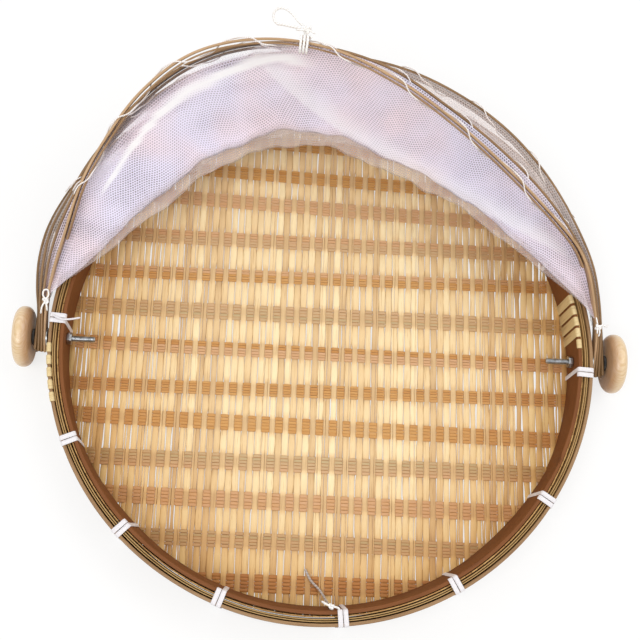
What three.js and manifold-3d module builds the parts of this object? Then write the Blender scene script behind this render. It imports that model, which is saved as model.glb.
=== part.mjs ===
// A round bamboo serving basket with a folding net cover.
// A woven tray stands on the table. Two bolts through its rim carry four half hoops, which hold
// three panels of net. The rear hoop is tied to the rim and the other three swing over the tray.
//
// Frame: millimetres, +Z up. The origin is on the table under the middle of the tray. +X runs
// along the hoops' pivot line to the right and +Y points to the back, where the open cover lies.

import * as THREE from "three";
import { mergeVertices } from "three/addons/utils/BufferGeometryUtils.js";
import Module from "manifold-3d";

const wasm = await Module();
wasm.setup();

const degrees = THREE.MathUtils.degToRad;

// Driving dimensions of the tray
const trayRadius = 175;
const rimHeight = 30;
const outerHoopWall = 2.4;
const fillerWall = 1;
const innerHoopWall = 2.4;
const matWall = 1.6;
const matThickness = 2;
const matStepIn = 4;
const fillerHeight = 9;
const fillerDrop = 1;
const matEdgeDrop = 2;
const bundleWidth = 10;
const splintSink = 0.6;
const weaveMargin = 2.4;
const seat = 0.3;
const ringSteps = 60;

// Driving dimensions of the pivots
const pivotHeight = 17;
const boltDiameter = 4;
const boltPlay = 0.4;
const boltInside = 18;
const boltHeadDiameter = 7;
const boltHeadHeight = 2.4;
const nutAcross = 7;
const nutHeight = 3.2;
const steelWasherDiameter = 12;
const steelWasherThickness = 0.9;
const rubberWasherDiameter = 10.5;
const rubberWasherThickness = 1.4;
const knobDiameter = 39;
const knobThickness = 10;
const knobEdgeRadius = 4.6;
const knobRecess = 1.4;
const knobRecessDiameter = 9;

// Driving dimensions of the cover
const stripWidth = 8;
const stripThickness = 1.5;
const coverStripWidth = 6;
const coverStripThickness = 1;
const stripTail = 9;
const hoopOverhang = 17;
const netThickness = 0.5;
const hemReach = 2.4;
const restAngles = [0, 15, 22.5, 30];

// Driving dimensions of the strings and the bamboo skin
const threadDiameter = 1.1;
const threadPlay = 0.65;
const tieBandWidth = 2.6;
const tieBandThickness = 0.6;
const tieBandGap = 0.7;
const skinWidth = 6;
const skinThickness = 0.6;
const skinGap = 1.6;
const skinTurns = 5;
const skinClearance = 0.6;
const pivotTieClearance = 1;
const stringDiameter = 1.5;
const knotDiameter = 6;
const sideKnotDiameter = 5;
const frontKnotDiameter = 4.4;
const frontStringAngle = 273.2;

// The hoops reach over the back of the rim by their overhang.
const hoopDepth = trayRadius + hoopOverhang;

// Small overrun for cuts
const overrun = 2;

const colours = {
  splint: "#efcf94",
  rim: "#9a6a38",
  filler: "#c9a26c",
  strip: "#b58d5c",
  skin: "#d9c49a",
  knob: "#e9cb98",
  steel: "#b9bcbf",
  rubber: "#262423",
  string: "#efece6",
  net: "#e8ddeb",
};

function finish(colour, roughness, metalness = 0) {
  return new THREE.MeshStandardMaterial({ color: colour, roughness, metalness });
}

const materials = {
  splint: finish(colours.splint, 0.62),
  rim: finish(colours.rim, 0.55),
  filler: finish(colours.filler, 0.6),
  strip: finish(colours.strip, 0.55),
  skin: finish(colours.skin, 0.5),
  knob: finish(colours.knob, 0.4),
  steel: finish(colours.steel, 0.3, 1),
  rubber: finish(colours.rubber, 0.8),
  string: finish(colours.string, 0.85),
  net: finish(colours.net, 0.9),
};

function piece(name, geometry, material) {
  const mesh = new THREE.Mesh(geometry, material);
  mesh.name = name;
  return mesh;
}

// Solids for the cuts: only the positions are kept, and equal points are merged.
function toSolid(geometry) {
  const bare = new THREE.BufferGeometry();
  bare.setAttribute("position", geometry.getAttribute("position").clone());
  if (geometry.index) {
    bare.setIndex(geometry.index.clone());
  }
  const merged = mergeVertices(bare, 1e-4);
  return new wasm.Manifold(
    new wasm.Mesh({
      numProp: 3,
      vertProperties: new Float32Array(merged.getAttribute("position").array),
      triVerts: new Uint32Array(merged.index.array),
    }),
  );
}

function fromSolid(solid) {
  const mesh = solid.getMesh();
  const geometry = new THREE.BufferGeometry();
  geometry.setAttribute("position", new THREE.BufferAttribute(new Float32Array(mesh.vertProperties), 3));
  geometry.setIndex(new THREE.BufferAttribute(new Uint32Array(mesh.triVerts), 1));
  geometry.computeVertexNormals();
  return geometry;
}

function cut(geometry, tools) {
  let solid = toSolid(geometry);
  for (const tool of tools) {
    solid = solid.subtract(toSolid(tool));
  }
  return fromSolid(solid);
}

// A closed ring about Z with a rectangular section.
function ring(innerRadius, outerRadius, bottom, top) {
  const profile = [
    new THREE.Vector2(innerRadius, bottom),
    new THREE.Vector2(outerRadius, bottom),
    new THREE.Vector2(outerRadius, top),
    new THREE.Vector2(innerRadius, top),
    new THREE.Vector2(innerRadius, bottom),
  ];
  return new THREE.LatheGeometry(profile, ringSteps).rotateX(Math.PI / 2);
}

// A rod or disc along X whose near face is at the given place.
function rodAlongX(diameter, length, start, side = 1, sides = 20) {
  const rod = new THREE.CylinderGeometry(diameter / 2, diameter / 2, length, sides);
  rod.rotateZ(Math.PI / 2);
  rod.translate(side * (start + length / 2), 0, 0);
  return rod;
}

// Rim, from the outside in: outer hoop, two filler strips, the mat's turned-up edge, inner hoop.
const outerHoopInside = trayRadius - outerHoopWall;
const outerFillerOutside = outerHoopInside - seat;
const outerFillerInside = outerFillerOutside - fillerWall;
const innerFillerOutside = outerFillerInside - seat;
const innerFillerInside = innerFillerOutside - fillerWall;
const matOutside = innerFillerInside - seat;
const matInside = matOutside - matWall;
const innerHoopOutside = matInside - seat;
const innerHoopInside = innerHoopOutside - innerHoopWall;
const fillerTop = rimHeight - fillerDrop;
const matEdgeTop = rimHeight - matEdgeDrop;

// The ties pass under the rim, so the rim and the mat's edge stand that much off the table.
const rimBottom = tieBandThickness + 2 * seat;
const innerHoopBottom = rimBottom + matThickness + seat;
const matStepRadius = innerHoopInside - matStepIn;

// The holes for both bolts, as one rod through the whole tray.
function boltHoles() {
  const reach = 2 * (trayRadius + overrun);
  const rod = new THREE.CylinderGeometry(
    (boltDiameter + boltPlay) / 2,
    (boltDiameter + boltPlay) / 2,
    reach,
    16,
  );
  rod.rotateZ(Math.PI / 2);
  rod.translate(0, 0, pivotHeight);
  return rod;
}

function matDish() {
  const profile = [
    new THREE.Vector2(0, 0),
    new THREE.Vector2(matStepRadius - rimBottom, 0),
    new THREE.Vector2(matStepRadius, rimBottom),
    new THREE.Vector2(matOutside, rimBottom),
    new THREE.Vector2(matOutside, matEdgeTop),
    new THREE.Vector2(matInside, matEdgeTop),
    new THREE.Vector2(matInside, rimBottom + matThickness),
    new THREE.Vector2(matStepRadius, rimBottom + matThickness),
    new THREE.Vector2(matStepRadius - rimBottom, matThickness),
    new THREE.Vector2(0, matThickness),
  ];
  return new THREE.LatheGeometry(profile, ringSteps).rotateX(Math.PI / 2);
}

// Where the bundles cross the mat, as shares of the tray's radius from its middle to the back.
// Their irregular spacing follows the photograph.
const bundleShares = [
  -0.845, -0.688, -0.535, -0.39, -0.239, -0.113, 0.044, 0.191, 0.333, 0.478, 0.621, 0.744, 0.889,
];

// Between the bundles the splints lie deeper. The underside is flat, for the tray to stand on.
function weaveHollows() {
  const radius = matStepRadius - rimBottom - weaveMargin;
  const stops = bundleShares.map((share) => share * trayRadius);
  const starts = [-2 * trayRadius, ...stops.map((y) => y + bundleWidth / 2)];
  const ends = [...stops.map((y) => y - bundleWidth / 2), 2 * trayRadius];
  const disc = new THREE.CylinderGeometry(radius, radius, 2 * splintSink, ringSteps);
  disc.rotateX(Math.PI / 2).translate(0, 0, matThickness);
  const round = toSolid(disc);
  return starts.map((start, i) => {
    const box = new THREE.BoxGeometry(2 * trayRadius, ends[i] - start, 2 * matThickness);
    box.translate(0, (start + ends[i]) / 2, matThickness);
    return fromSolid(round.intersect(toSolid(box)));
  });
}

const object = new THREE.Group();

// A closed tube through rings of points; its ends are closed flat and its faces point out.
function sweep(rings) {
  const sides = rings[0].length;
  const positions = rings.flat().flatMap((p) => [p.x, p.y, p.z]);
  const triangles = [];
  for (let i = 0; i + 1 < rings.length; i += 1) {
    for (let j = 0; j < sides; j += 1) {
      const a = i * sides + j;
      const b = i * sides + ((j + 1) % sides);
      triangles.push([a, b, b + sides], [a, b + sides, a + sides]);
    }
  }
  const last = (rings.length - 1) * sides;
  for (let j = 1; j + 1 < sides; j += 1) {
    triangles.push([0, j + 1, j], [last, last + j, last + j + 1]);
  }
  const corner = (i) => new THREE.Vector3().fromArray(positions, 3 * i);
  let volume = 0;
  for (const [a, b, c] of triangles) {
    volume += corner(a).dot(corner(b).cross(corner(c)));
  }
  const index = triangles.flatMap(([a, b, c]) => (volume > 0 ? [a, b, c] : [a, c, b]));
  const geometry = new THREE.BufferGeometry();
  geometry.setAttribute("position", new THREE.Float32BufferAttribute(positions, 3));
  geometry.setIndex(index);
  geometry.computeVertexNormals();
  return geometry;
}

// The section of a winding at one place: a flat band or a round thread.
function bandSection({ point, wide, thick }, width, thickness) {
  return [[1, 1], [-1, 1], [-1, -1], [1, -1]].map(([a, b]) =>
    point
      .clone()
      .addScaledVector(wide, (a * width) / 2)
      .addScaledVector(thick, (b * thickness) / 2),
  );
}

function threadSection({ point, wide, thick }, diameter, sides) {
  return Array.from({ length: sides }, (_, k) => {
    const angle = (2 * Math.PI * k) / sides;
    return point
      .clone()
      .addScaledVector(wide, (Math.cos(angle) * diameter) / 2)
      .addScaledVector(thick, (Math.sin(angle) * diameter) / 2);
  });
}

// The least distance between the middle lines of turns of a winding that lie side by side.
function leastTurnDistance(stations, stepsPerTurn) {
  let least = Infinity;
  stations.forEach((a, i) => {
    stations.slice(i + Math.ceil(stepsPerTurn / 2) + 1).forEach((b) => {
      least = Math.min(least, a.point.distanceTo(b.point));
    });
  });
  return least;
}

// Ties and bamboo skin round the rim. A turn is a flat loop round the rim's section; the step
// to the next turn lies on the run under the rim.
const tie = [2, tieBandWidth, tieBandThickness, tieBandWidth + tieBandGap];
const skin = [skinTurns, skinWidth, skinThickness, skinWidth + skinGap];

// The length of a winding along the rim's outside.
function windingLength([turns, width, , pitch]) {
  return ((turns - 1) * pitch * trayRadius) / innerHoopInside + width;
}

// The angle from the pivot line at which a winding clears the steel washer.
function angleBesidePivot(winding, clearance) {
  const middle = steelWasherDiameter / 2 + clearance + windingLength(winding) / 2;
  return THREE.MathUtils.radToDeg(Math.asin(middle / trayRadius));
}

const besidePivot = angleBesidePivot(tie, pivotTieClearance);
const tieAngles = [
  24, 48, 72, 96, 120, 147, 180 - besidePivot,
  203.2, 225.1, 249.7, 275.5, 300, 326.9, 360 - besidePivot,
];
const skinBesidePivot = angleBesidePivot(skin, skinClearance);
const skinAngles = [[skinBesidePivot, "right"], [180 + skinBesidePivot, "left"]];

// The angle about Z at which one turn of a winding crosses the rim.
function turnAngle(angle, turn, turns, pitch) {
  return degrees(angle) + ((turn - (turns - 1) / 2) * pitch) / innerHoopInside;
}

function rimWinding(angle, turns, width, thickness, pitch) {
  const inside = innerHoopInside - seat - thickness / 2;
  const outside = trayRadius + seat + thickness / 2;
  const under = rimBottom - seat - thickness / 2;
  const over = rimHeight + seat + thickness / 2;
  const corner = thickness;
  const loop = [
    [inside, under + corner, -1, 0],
    [inside, over - corner, -1, 0],
    [inside + corner, over, 0, 1],
    [outside - corner, over, 0, 1],
    [outside, over - corner, 1, 0],
    [outside, under + corner, 1, 0],
    [outside - corner, under, 0, -1],
    [inside + corner, under, 0, -1],
  ];
  const stations = [];
  for (let k = 0; k < turns; k += 1) {
    const corners = k + 1 < turns ? loop : loop.slice(0, -2);
    corners.forEach(([radius, height, outward, upward], i) => {
      const step = i === loop.length - 1 ? k + 1 : k;
      const turn = new THREE.Matrix4().makeRotationZ(turnAngle(angle, step, turns, pitch));
      stations.push({
        point: new THREE.Vector3(radius, 0, height).applyMatrix4(turn),
        wide: new THREE.Vector3(0, 1, 0).transformDirection(turn),
        thick: new THREE.Vector3(outward, 0, upward).transformDirection(turn),
      });
    });
  }
  const gap = leastTurnDistance(stations, loop.length) - width;
  console.log(`winding at ${angle.toFixed(1)} degrees: least gap to itself ${gap.toFixed(2)} mm`);
  return sweep(stations.map((station) => bandSection(station, width, thickness)));
}

// A slot through the mat, just inside the rim, as long as the bands that pass through it.
function matSlot(angle, length, thickness) {
  const slot = new THREE.BoxGeometry(2 * thickness + 2 * seat, length + 2 * seat, 2 * innerHoopBottom);
  slot.translate(innerHoopInside - seat - thickness / 2, 0, 0);
  return slot.rotateZ(angle);
}

const tieLength = 2 * tieBandWidth + tieBandGap;
const matSlots = tieAngles.map((angle) => matSlot(degrees(angle), tieLength, tieBandThickness));
for (const [angle] of skinAngles) {
  for (let k = 0; k < skinTurns; k += 1) {
    const place = turnAngle(angle, k, skinTurns, skinWidth + skinGap);
    matSlots.push(matSlot(place, skinWidth, skinThickness));
  }
}

tieAngles.forEach((angle, i) => {
  const name = `rim_tie_${String(i + 1).padStart(2, "0")}`;
  object.add(piece(name, rimWinding(angle, ...tie), materials.string));
});
for (const [angle, side] of skinAngles) {
  object.add(piece(`${side}_skin_lashing`, rimWinding(angle, ...skin), materials.skin));
}

const trayRings = [
  ["woven_mat", matDish(), materials.splint],
  ["rim_inner_hoop", ring(innerHoopInside, innerHoopOutside, innerHoopBottom, rimHeight), materials.rim],
  [
    "rim_filler_inner",
    ring(innerFillerInside, innerFillerOutside, fillerTop - fillerHeight, fillerTop),
    materials.filler,
  ],
  [
    "rim_filler_outer",
    ring(outerFillerInside, outerFillerOutside, fillerTop - fillerHeight, fillerTop),
    materials.filler,
  ],
  ["rim_outer_hoop", ring(outerHoopInside, trayRadius, rimBottom, rimHeight), materials.rim],
];
for (const [name, geometry, material] of trayRings) {
  const tools = name === "woven_mat" ? [boltHoles(), ...matSlots, ...weaveHollows()] : [boltHoles()];
  object.add(piece(name, cut(geometry, tools), material));
}

// Hoops of the cover. Each lies in its own plane through the pivot line, apex to the back at rest.
const stripPitch = stripThickness + seat;
const hoopCount = restAngles.length;
const frontHoop = hoopCount - 1;
const stackInside = trayRadius + rubberWasherThickness + steelWasherThickness + 3 * seat;

// The place of a hoop's main strip at the bolt, on the middle of its thickness.
function halfWidthOf(index) {
  return stackInside + stripThickness / 2 + (hoopCount - 1 - index) * stripPitch;
}

// Outlines of the hoops as shares of half the width and of the depth, from right to left. They
// fan out: the rear ones keep an even bow, the front ones lean inwards on the right and over to
// the left. Closed, the front hoop still passes outside the rim.
const rearShares = [
  [1, 0], [1, 0.12], [0.992, 0.235], [0.974, 0.33], [0.92, 0.474], [0.828, 0.628], [0.69, 0.77],
  [0.5, 0.897], [0.27, 0.975], [0, 1], [-0.27, 0.982], [-0.5, 0.912], [-0.7, 0.79], [-0.85, 0.647],
  [-0.946, 0.5], [-0.997, 0.38], [-1.016, 0.27], [-1.013, 0.17], [-1, 0.08], [-1, 0],
];
const secondShares = [
  [1, 0], [0.998, 0.12], [0.982, 0.24], [0.955, 0.34], [0.885, 0.475], [0.78, 0.625], [0.64, 0.765],
  [0.46, 0.88], [0.24, 0.965], [-0.02, 1], [-0.29, 0.978], [-0.52, 0.895], [-0.71, 0.76], [-0.84, 0.61],
  [-0.922, 0.465], [-0.973, 0.36], [-0.996, 0.25], [-1.002, 0.15], [-1, 0.07], [-1, 0],
];
const thirdShares = [
  [1, 0], [0.994, 0.12], [0.97, 0.24], [0.94, 0.325], [0.874, 0.43], [0.76, 0.56], [0.59, 0.7],
  [0.39, 0.83], [0.17, 0.945], [-0.09, 1], [-0.34, 0.985], [-0.54, 0.905], [-0.71, 0.765], [-0.822, 0.62],
  [-0.895, 0.485], [-0.943, 0.38], [-0.975, 0.28], [-0.994, 0.17], [-1, 0.08], [-1, 0],
];
const frontShares = [
  [1, 0], [0.993, 0.118], [0.974, 0.2], [0.954, 0.27], [0.931, 0.33], [0.89, 0.397], [0.81, 0.476],
  [0.61, 0.64], [0.42, 0.775], [0.2, 0.9], [-0.04, 0.985], [-0.28, 1], [-0.5, 0.945], [-0.67, 0.82],
  [-0.8, 0.65], [-0.872, 0.52], [-0.935, 0.335], [-0.967, 0.235], [-0.993, 0.118], [-1, 0],
];
const hoopShares = [rearShares, secondShares, thirdShares, frontShares];

// The middle line of a hoop's main strip.
const hoopCurves = hoopShares.map((shares, index) => {
  const points = shares.map(([x, y]) => new THREE.Vector3(x * halfWidthOf(index), y * hoopDepth, 0));
  return new THREE.CatmullRomCurve3(points, false, "centripetal");
});

// A place beside a hoop: along its length, out from its main strip and across its width.
function hoopPlace(index, share, outward, across) {
  const curve = hoopCurves[index];
  const point = curve.getPointAt(share);
  const along = curve.getTangentAt(share);
  const out = new THREE.Vector3(along.y, -along.x, 0);
  const wide = new THREE.Vector3(0, 0, 1);
  return { point: point.addScaledVector(out, outward).addScaledVector(wide, across), out, wide, along };
}

// A flat strip on edge: its outline in the hoop's plane is extruded by the strip's width.
function stripAlong(points, thickness, width) {
  const sides = [[], []];
  points.forEach((point, i) => {
    const before = points[Math.max(i - 1, 0)];
    const after = points[Math.min(i + 1, points.length - 1)];
    const along = after.clone().sub(before).normalize();
    const across = new THREE.Vector3(along.y, -along.x, 0).multiplyScalar(thickness / 2);
    sides[0].push(point.clone().add(across));
    sides[1].push(point.clone().sub(across));
  });
  const outline = [...sides[0], ...sides[1].reverse()].map((p) => new THREE.Vector2(p.x, p.y));
  const strip = new THREE.ExtrudeGeometry(new THREE.Shape(outline), {
    depth: width,
    bevelEnabled: false,
  });
  return strip.translate(0, 0, -width / 2);
}

// All pieces of a hoop share its steps, so that their facets lie side by side.
const hoopSteps = 26;
const coverFromStep = 3;
const netFromStep = 4;
const hemGap = netThickness + 2 * seat;
const coverInset = stripThickness / 2 + hemGap + coverStripThickness / 2;
const hemInset = stripThickness / 2 + hemGap / 2;

function mainStrip(index) {
  const points = hoopCurves[index].getSpacedPoints(hoopSteps);
  const tail = new THREE.Vector3(0, -stripTail, 0);
  points.unshift(points[0].clone().add(tail));
  points.push(points[points.length - 1].clone().add(tail));
  return cut(stripAlong(points, stripThickness, stripWidth), [
    rodAlongX(boltDiameter + boltPlay, 2 * trayRadius + 2 * stripPitch * hoopCount, -2 * trayRadius, 1, 16),
    rodAlongX(boltDiameter + boltPlay, 2 * trayRadius, 0, 1, 16),
  ]);
}

function coverStrip(index) {
  const steps = Array.from({ length: hoopSteps - 2 * coverFromStep + 1 }, (_, i) => coverFromStep + i);
  const points = steps.map((step) => hoopPlace(index, step / hoopSteps, -coverInset, 0).point);
  return stripAlong(points, coverStripThickness, coverStripWidth);
}

const hoopNames = ["rear_hoop", "second_hoop", "third_hoop", "front_hoop"];
const hoops = hoopNames.map((name, index) => {
  const hoop = new THREE.Group();
  hoop.position.z = pivotHeight;
  hoop.rotation.x = degrees(restAngles[index]);
  hoop.add(piece(`${name}_main_strip`, mainStrip(index), materials.strip));
  hoop.add(piece(`${name}_cover_strip`, coverStrip(index), materials.strip));
  object.add(hoop);
  return hoop;
});

// Pivot hardware of both sides: each piece is made along +X and mirrored to the left.
const bore = boltDiameter + boltPlay;
const stackOutside = halfWidthOf(0) + stripThickness / 2;
const rubberStart = trayRadius + seat;
const steelStart = rubberStart + rubberWasherThickness + seat;
const outerWasherStart = stackOutside + seat;
const knobStart = outerWasherStart + rubberWasherThickness + seat;
const knobOutside = knobStart + knobThickness;
const headStart = knobOutside - knobRecess + seat;
const nutStart = innerHoopInside - seat - nutHeight;

// A turned piece about X: the profile is a list of radius and place along X.
function turned(profile, sides, side) {
  const points = profile.map(([radius, x]) => new THREE.Vector2(radius, side * x));
  const ordered = side > 0 ? points : points.reverse();
  return new THREE.LatheGeometry(ordered, sides).rotateZ(-Math.PI / 2);
}

function washer(diameter, thickness, start, side) {
  const profile = [
    [bore / 2, start],
    [diameter / 2, start],
    [diameter / 2, start + thickness],
    [bore / 2, start + thickness],
    [bore / 2, start],
  ];
  return turned(profile, 12, side);
}

function bolt(side) {
  const tip = innerHoopInside - boltInside;
  const chamfer = boltDiameter / 8;
  const profile = [
    [0, tip],
    [boltDiameter / 2 - chamfer, tip],
    [boltDiameter / 2, tip + chamfer],
    [boltDiameter / 2, headStart],
    [boltHeadDiameter / 2, headStart],
    [boltHeadDiameter / 2, headStart + boltHeadHeight / 2],
    [boltHeadDiameter / 4, headStart + boltHeadHeight],
    [0, headStart + boltHeadHeight],
  ];
  return turned(profile, 12, side);
}

function nut(side) {
  const acrossCorners = nutAcross / Math.cos(Math.PI / 6);
  const hexagon = rodAlongX(acrossCorners, nutHeight, nutStart, side, 6);
  return cut(hexagon, [rodAlongX(bore, nutHeight + 2 * overrun, nutStart - overrun, side, 16)]);
}

// A wooden disc with round edges and a shallow seat for the bolt's head.
function knob(side) {
  const radius = knobDiameter / 2;
  const edge = (from, to, middle) => [0, 0.25, 0.5, 0.75, 1].map((share) => {
    const angle = THREE.MathUtils.lerp(from, to, share);
    return [
      radius - knobEdgeRadius * (1 - Math.cos(angle)),
      middle + knobEdgeRadius * Math.sin(angle),
    ];
  });
  const profile = [
    [bore / 2, knobStart],
    ...edge(-Math.PI / 2, 0, knobStart + knobEdgeRadius),
    ...edge(0, Math.PI / 2, knobOutside - knobEdgeRadius),
    [knobRecessDiameter / 2, knobOutside],
    [knobRecessDiameter / 2, knobOutside - knobRecess],
    [bore / 2, knobOutside - knobRecess],
    [bore / 2, knobStart],
  ];
  return turned(profile, 20, side);
}

for (const [side, name] of [[-1, "left"], [1, "right"]]) {
  const hardware = new THREE.Group();
  hardware.position.z = pivotHeight;
  hardware.add(
    piece(`${name}_bolt`, bolt(side), materials.steel),
    piece(`${name}_nut`, nut(side), materials.steel),
    piece(
      `${name}_inner_rubber_washer`,
      washer(rubberWasherDiameter, rubberWasherThickness, rubberStart, side),
      materials.rubber,
    ),
    piece(
      `${name}_steel_washer`,
      washer(steelWasherDiameter, steelWasherThickness, steelStart, side),
      materials.steel,
    ),
    piece(
      `${name}_outer_rubber_washer`,
      washer(rubberWasherDiameter, rubberWasherThickness, outerWasherStart, side),
      materials.rubber,
    ),
    piece(`${name}_knob`, knob(side), materials.knob),
  );
  object.add(hardware);
}

// Sewing thread round both strips of a hoop, in an open spiral that holds the net's hem.
const threadTurns = 8;
const threadFromShare = 0.165;
const threadToShare = 1 - threadFromShare;

// One turn round a hoop's section, as places on a rectangle with cut corners. Play is the room
// left between the strips and the thread or string.
function turnOutline(diameter, play) {
  const outer = stripThickness / 2 + play + diameter / 2;
  const inner = -coverInset - coverStripThickness / 2 - play - diameter / 2;
  const side = stripWidth / 2 + play + diameter / 2;
  const corner = diameter;
  return [
    [outer, side - corner], [outer, -side + corner], [outer - corner, -side], [inner + corner, -side],
    [inner, -side + corner], [inner, side - corner], [inner + corner, side], [outer - corner, side],
  ];
}

function spiralStations(index, outline, turns, from, to) {
  const steps = turns * outline.length;
  return Array.from({ length: steps + 1 }, (_, i) => {
    const [outward, across] = outline[i % outline.length];
    return hoopPlace(index, from + ((to - from) * i) / steps, outward, across);
  });
}

function spiral(stations, diameter, sides) {
  const rings = stations.map(({ point, out }, i) => {
    const before = stations[Math.max(i - 1, 0)].point;
    const after = stations[Math.min(i + 1, stations.length - 1)].point;
    const along = after.clone().sub(before).normalize();
    const wide = new THREE.Vector3().crossVectors(along, out).normalize();
    const thick = new THREE.Vector3().crossVectors(wide, along).normalize();
    return threadSection({ point, wide, thick }, diameter, sides);
  });
  return sweep(rings);
}

const threadOutline = turnOutline(threadDiameter, threadPlay);

function threadStations(index) {
  return spiralStations(index, threadOutline, threadTurns, threadFromShare, threadToShare);
}

hoops.forEach((hoop, index) => {
  const stations = threadStations(index);
  hoop.add(piece(`${hoopNames[index]}_thread`, spiral(stations, threadDiameter, 4), materials.string));
  const gap = leastTurnDistance(stations, threadOutline.length) - threadDiameter;
  console.log(`${hoopNames[index]} thread: least gap to itself ${gap.toFixed(2)} mm`);
});

// Net panels. Each one hangs between two neighbouring hoops and is folded inwards over the tray.
// Its two layers start in the hems of the hoops and meet at the fold. A place on a panel is
// given by its share of the hoops' length and by a row from the lower hem to the upper one.
const netFromShare = netFromStep / hoopSteps;
const netColumns = hoopSteps - 2 * netFromStep;
const netLift = 2.6;
const foldFloor = rimHeight + netLift;
const foldSquash = 0.42;
const pleatShare = 0.022;
const pleatCount = 9;
const foldLineShares = [
  [0.87, 0.34], [0.79, 0.31], [0.64, 0.38], [0.46, 0.5], [0.25, 0.59], [0.03, 0.67], [-0.15, 0.685],
  [-0.38, 0.6], [-0.61, 0.42], [-0.78, 0.31], [-0.87, 0.34],
];
const foldReachShares = [0.94, 1, 0.9];

// Rows between the hems: how far the row lies from hem to fold, and from the lower hoop's
// angle to the upper one's.
const netRowShares = [
  [0.05, 0.04], [0.14, 0.08], [0.5, 0.2], [0.93, 0.42],
  [1, 0.5], [0.9, 0.6], [0.45, 0.82],
];

const foldLine = new THREE.CatmullRomCurve3(
  foldLineShares.map(([x, y]) => new THREE.Vector3(x * halfWidthOf(0), y * hoopDepth, 0)),
  false,
  "centripetal",
);

// A place given by X, the distance from the pivot line and the angle above the horizontal.
function swung(x, distance, angle) {
  return new THREE.Vector3(x, distance * Math.cos(angle), pivotHeight + distance * Math.sin(angle));
}

function hemPlace(index, share, across) {
  const { point } = hoopPlace(index, share, -hemInset, across);
  const angle = degrees(restAngles[index]) + Math.atan2(point.z, point.y);
  return swung(point.x, Math.hypot(point.y, point.z), angle);
}

// The net leaves a hem straight, clear of the thread, before it turns to the fold.
const hemExit = stripWidth / 2 + threadPlay + threadDiameter;

function netPoint(panel, share, [inward, turn]) {
  const lower = hoopPlace(panel, share, -hemInset, 0).point;
  const upper = hoopPlace(panel + 1, share, -hemInset, 0).point;
  const hem = lower.lerp(upper, turn);
  const foldShare = (share - netFromShare) / (1 - 2 * netFromShare);
  const fold = foldLine.getPointAt(foldShare);
  const ends = Math.sin(Math.PI * foldShare);
  const pleat = pleatShare * ends * Math.sin(2 * Math.PI * pleatCount * foldShare + panel);
  const reach = inward * (foldReachShares[panel] + pleat);
  const x = hem.x + (fold.x - hem.x) * reach;
  const distance = hem.y + (fold.y - hem.y) * reach;
  const margin = Math.atan2(hemExit, hem.y);
  const low = degrees(restAngles[panel]) + margin;
  const high = degrees(restAngles[panel + 1]) - margin;
  const angle = low + (high - low) * turn;
  const floor = Math.asin(Math.min((foldFloor - pivotHeight) / distance, 1));
  const sag = THREE.MathUtils.smoothstep(inward, 0, 1) * ends ** 0.5;
  const sagged = THREE.MathUtils.lerp(angle, floor + foldSquash * angle, sag);
  return swung(x, distance, sagged);
}

// The lowest panel climbs over the rim before it turns inwards: its second row stands just
// outside the rim, and all rows from there inwards lie above it.
const rimPassing = trayRadius + netLift;

function overRim(share, rows) {
  const probes = 100;
  const passes = (i) => {
    const point = netPoint(0, share, [i / probes, rows[1][1]]);
    return Math.hypot(point.x, point.y) < rimPassing;
  };
  let passing = 1;
  while (passing < probes && !passes(passing)) {
    passing += 1;
  }
  const places = rows.map(([inward, turn], j) => {
    if (j > 1) {
      return [Math.max(inward, passing / probes + 1 / probes), turn];
    }
    return [(passing / probes) * (j === 0 ? 0.5 : 1), turn];
  });
  return places.map((place, j) => {
    const point = netPoint(0, share, place);
    const least = j === 0 ? pivotHeight + hemExit : foldFloor;
    return new THREE.Vector3(point.x, point.y, Math.max(point.z, least));
  });
}

function netGrid(panel) {
  const grid = [];
  for (let i = 0; i <= netColumns; i += 1) {
    const share = netFromShare + ((1 - 2 * netFromShare) * i) / netColumns;
    const inner = stripWidth / 2 - hemReach;
    const free = netRowShares.map((row) => netPoint(panel, share, row));
    const rows = panel === 0 ? overRim(share, netRowShares) : free;
    grid.push([
      hemPlace(panel, share, inner),
      hemPlace(panel, share, hemExit),
      ...rows,
      hemPlace(panel + 1, share, -hemExit),
      hemPlace(panel + 1, share, -inner),
    ]);
  }
  return grid;
}

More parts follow.
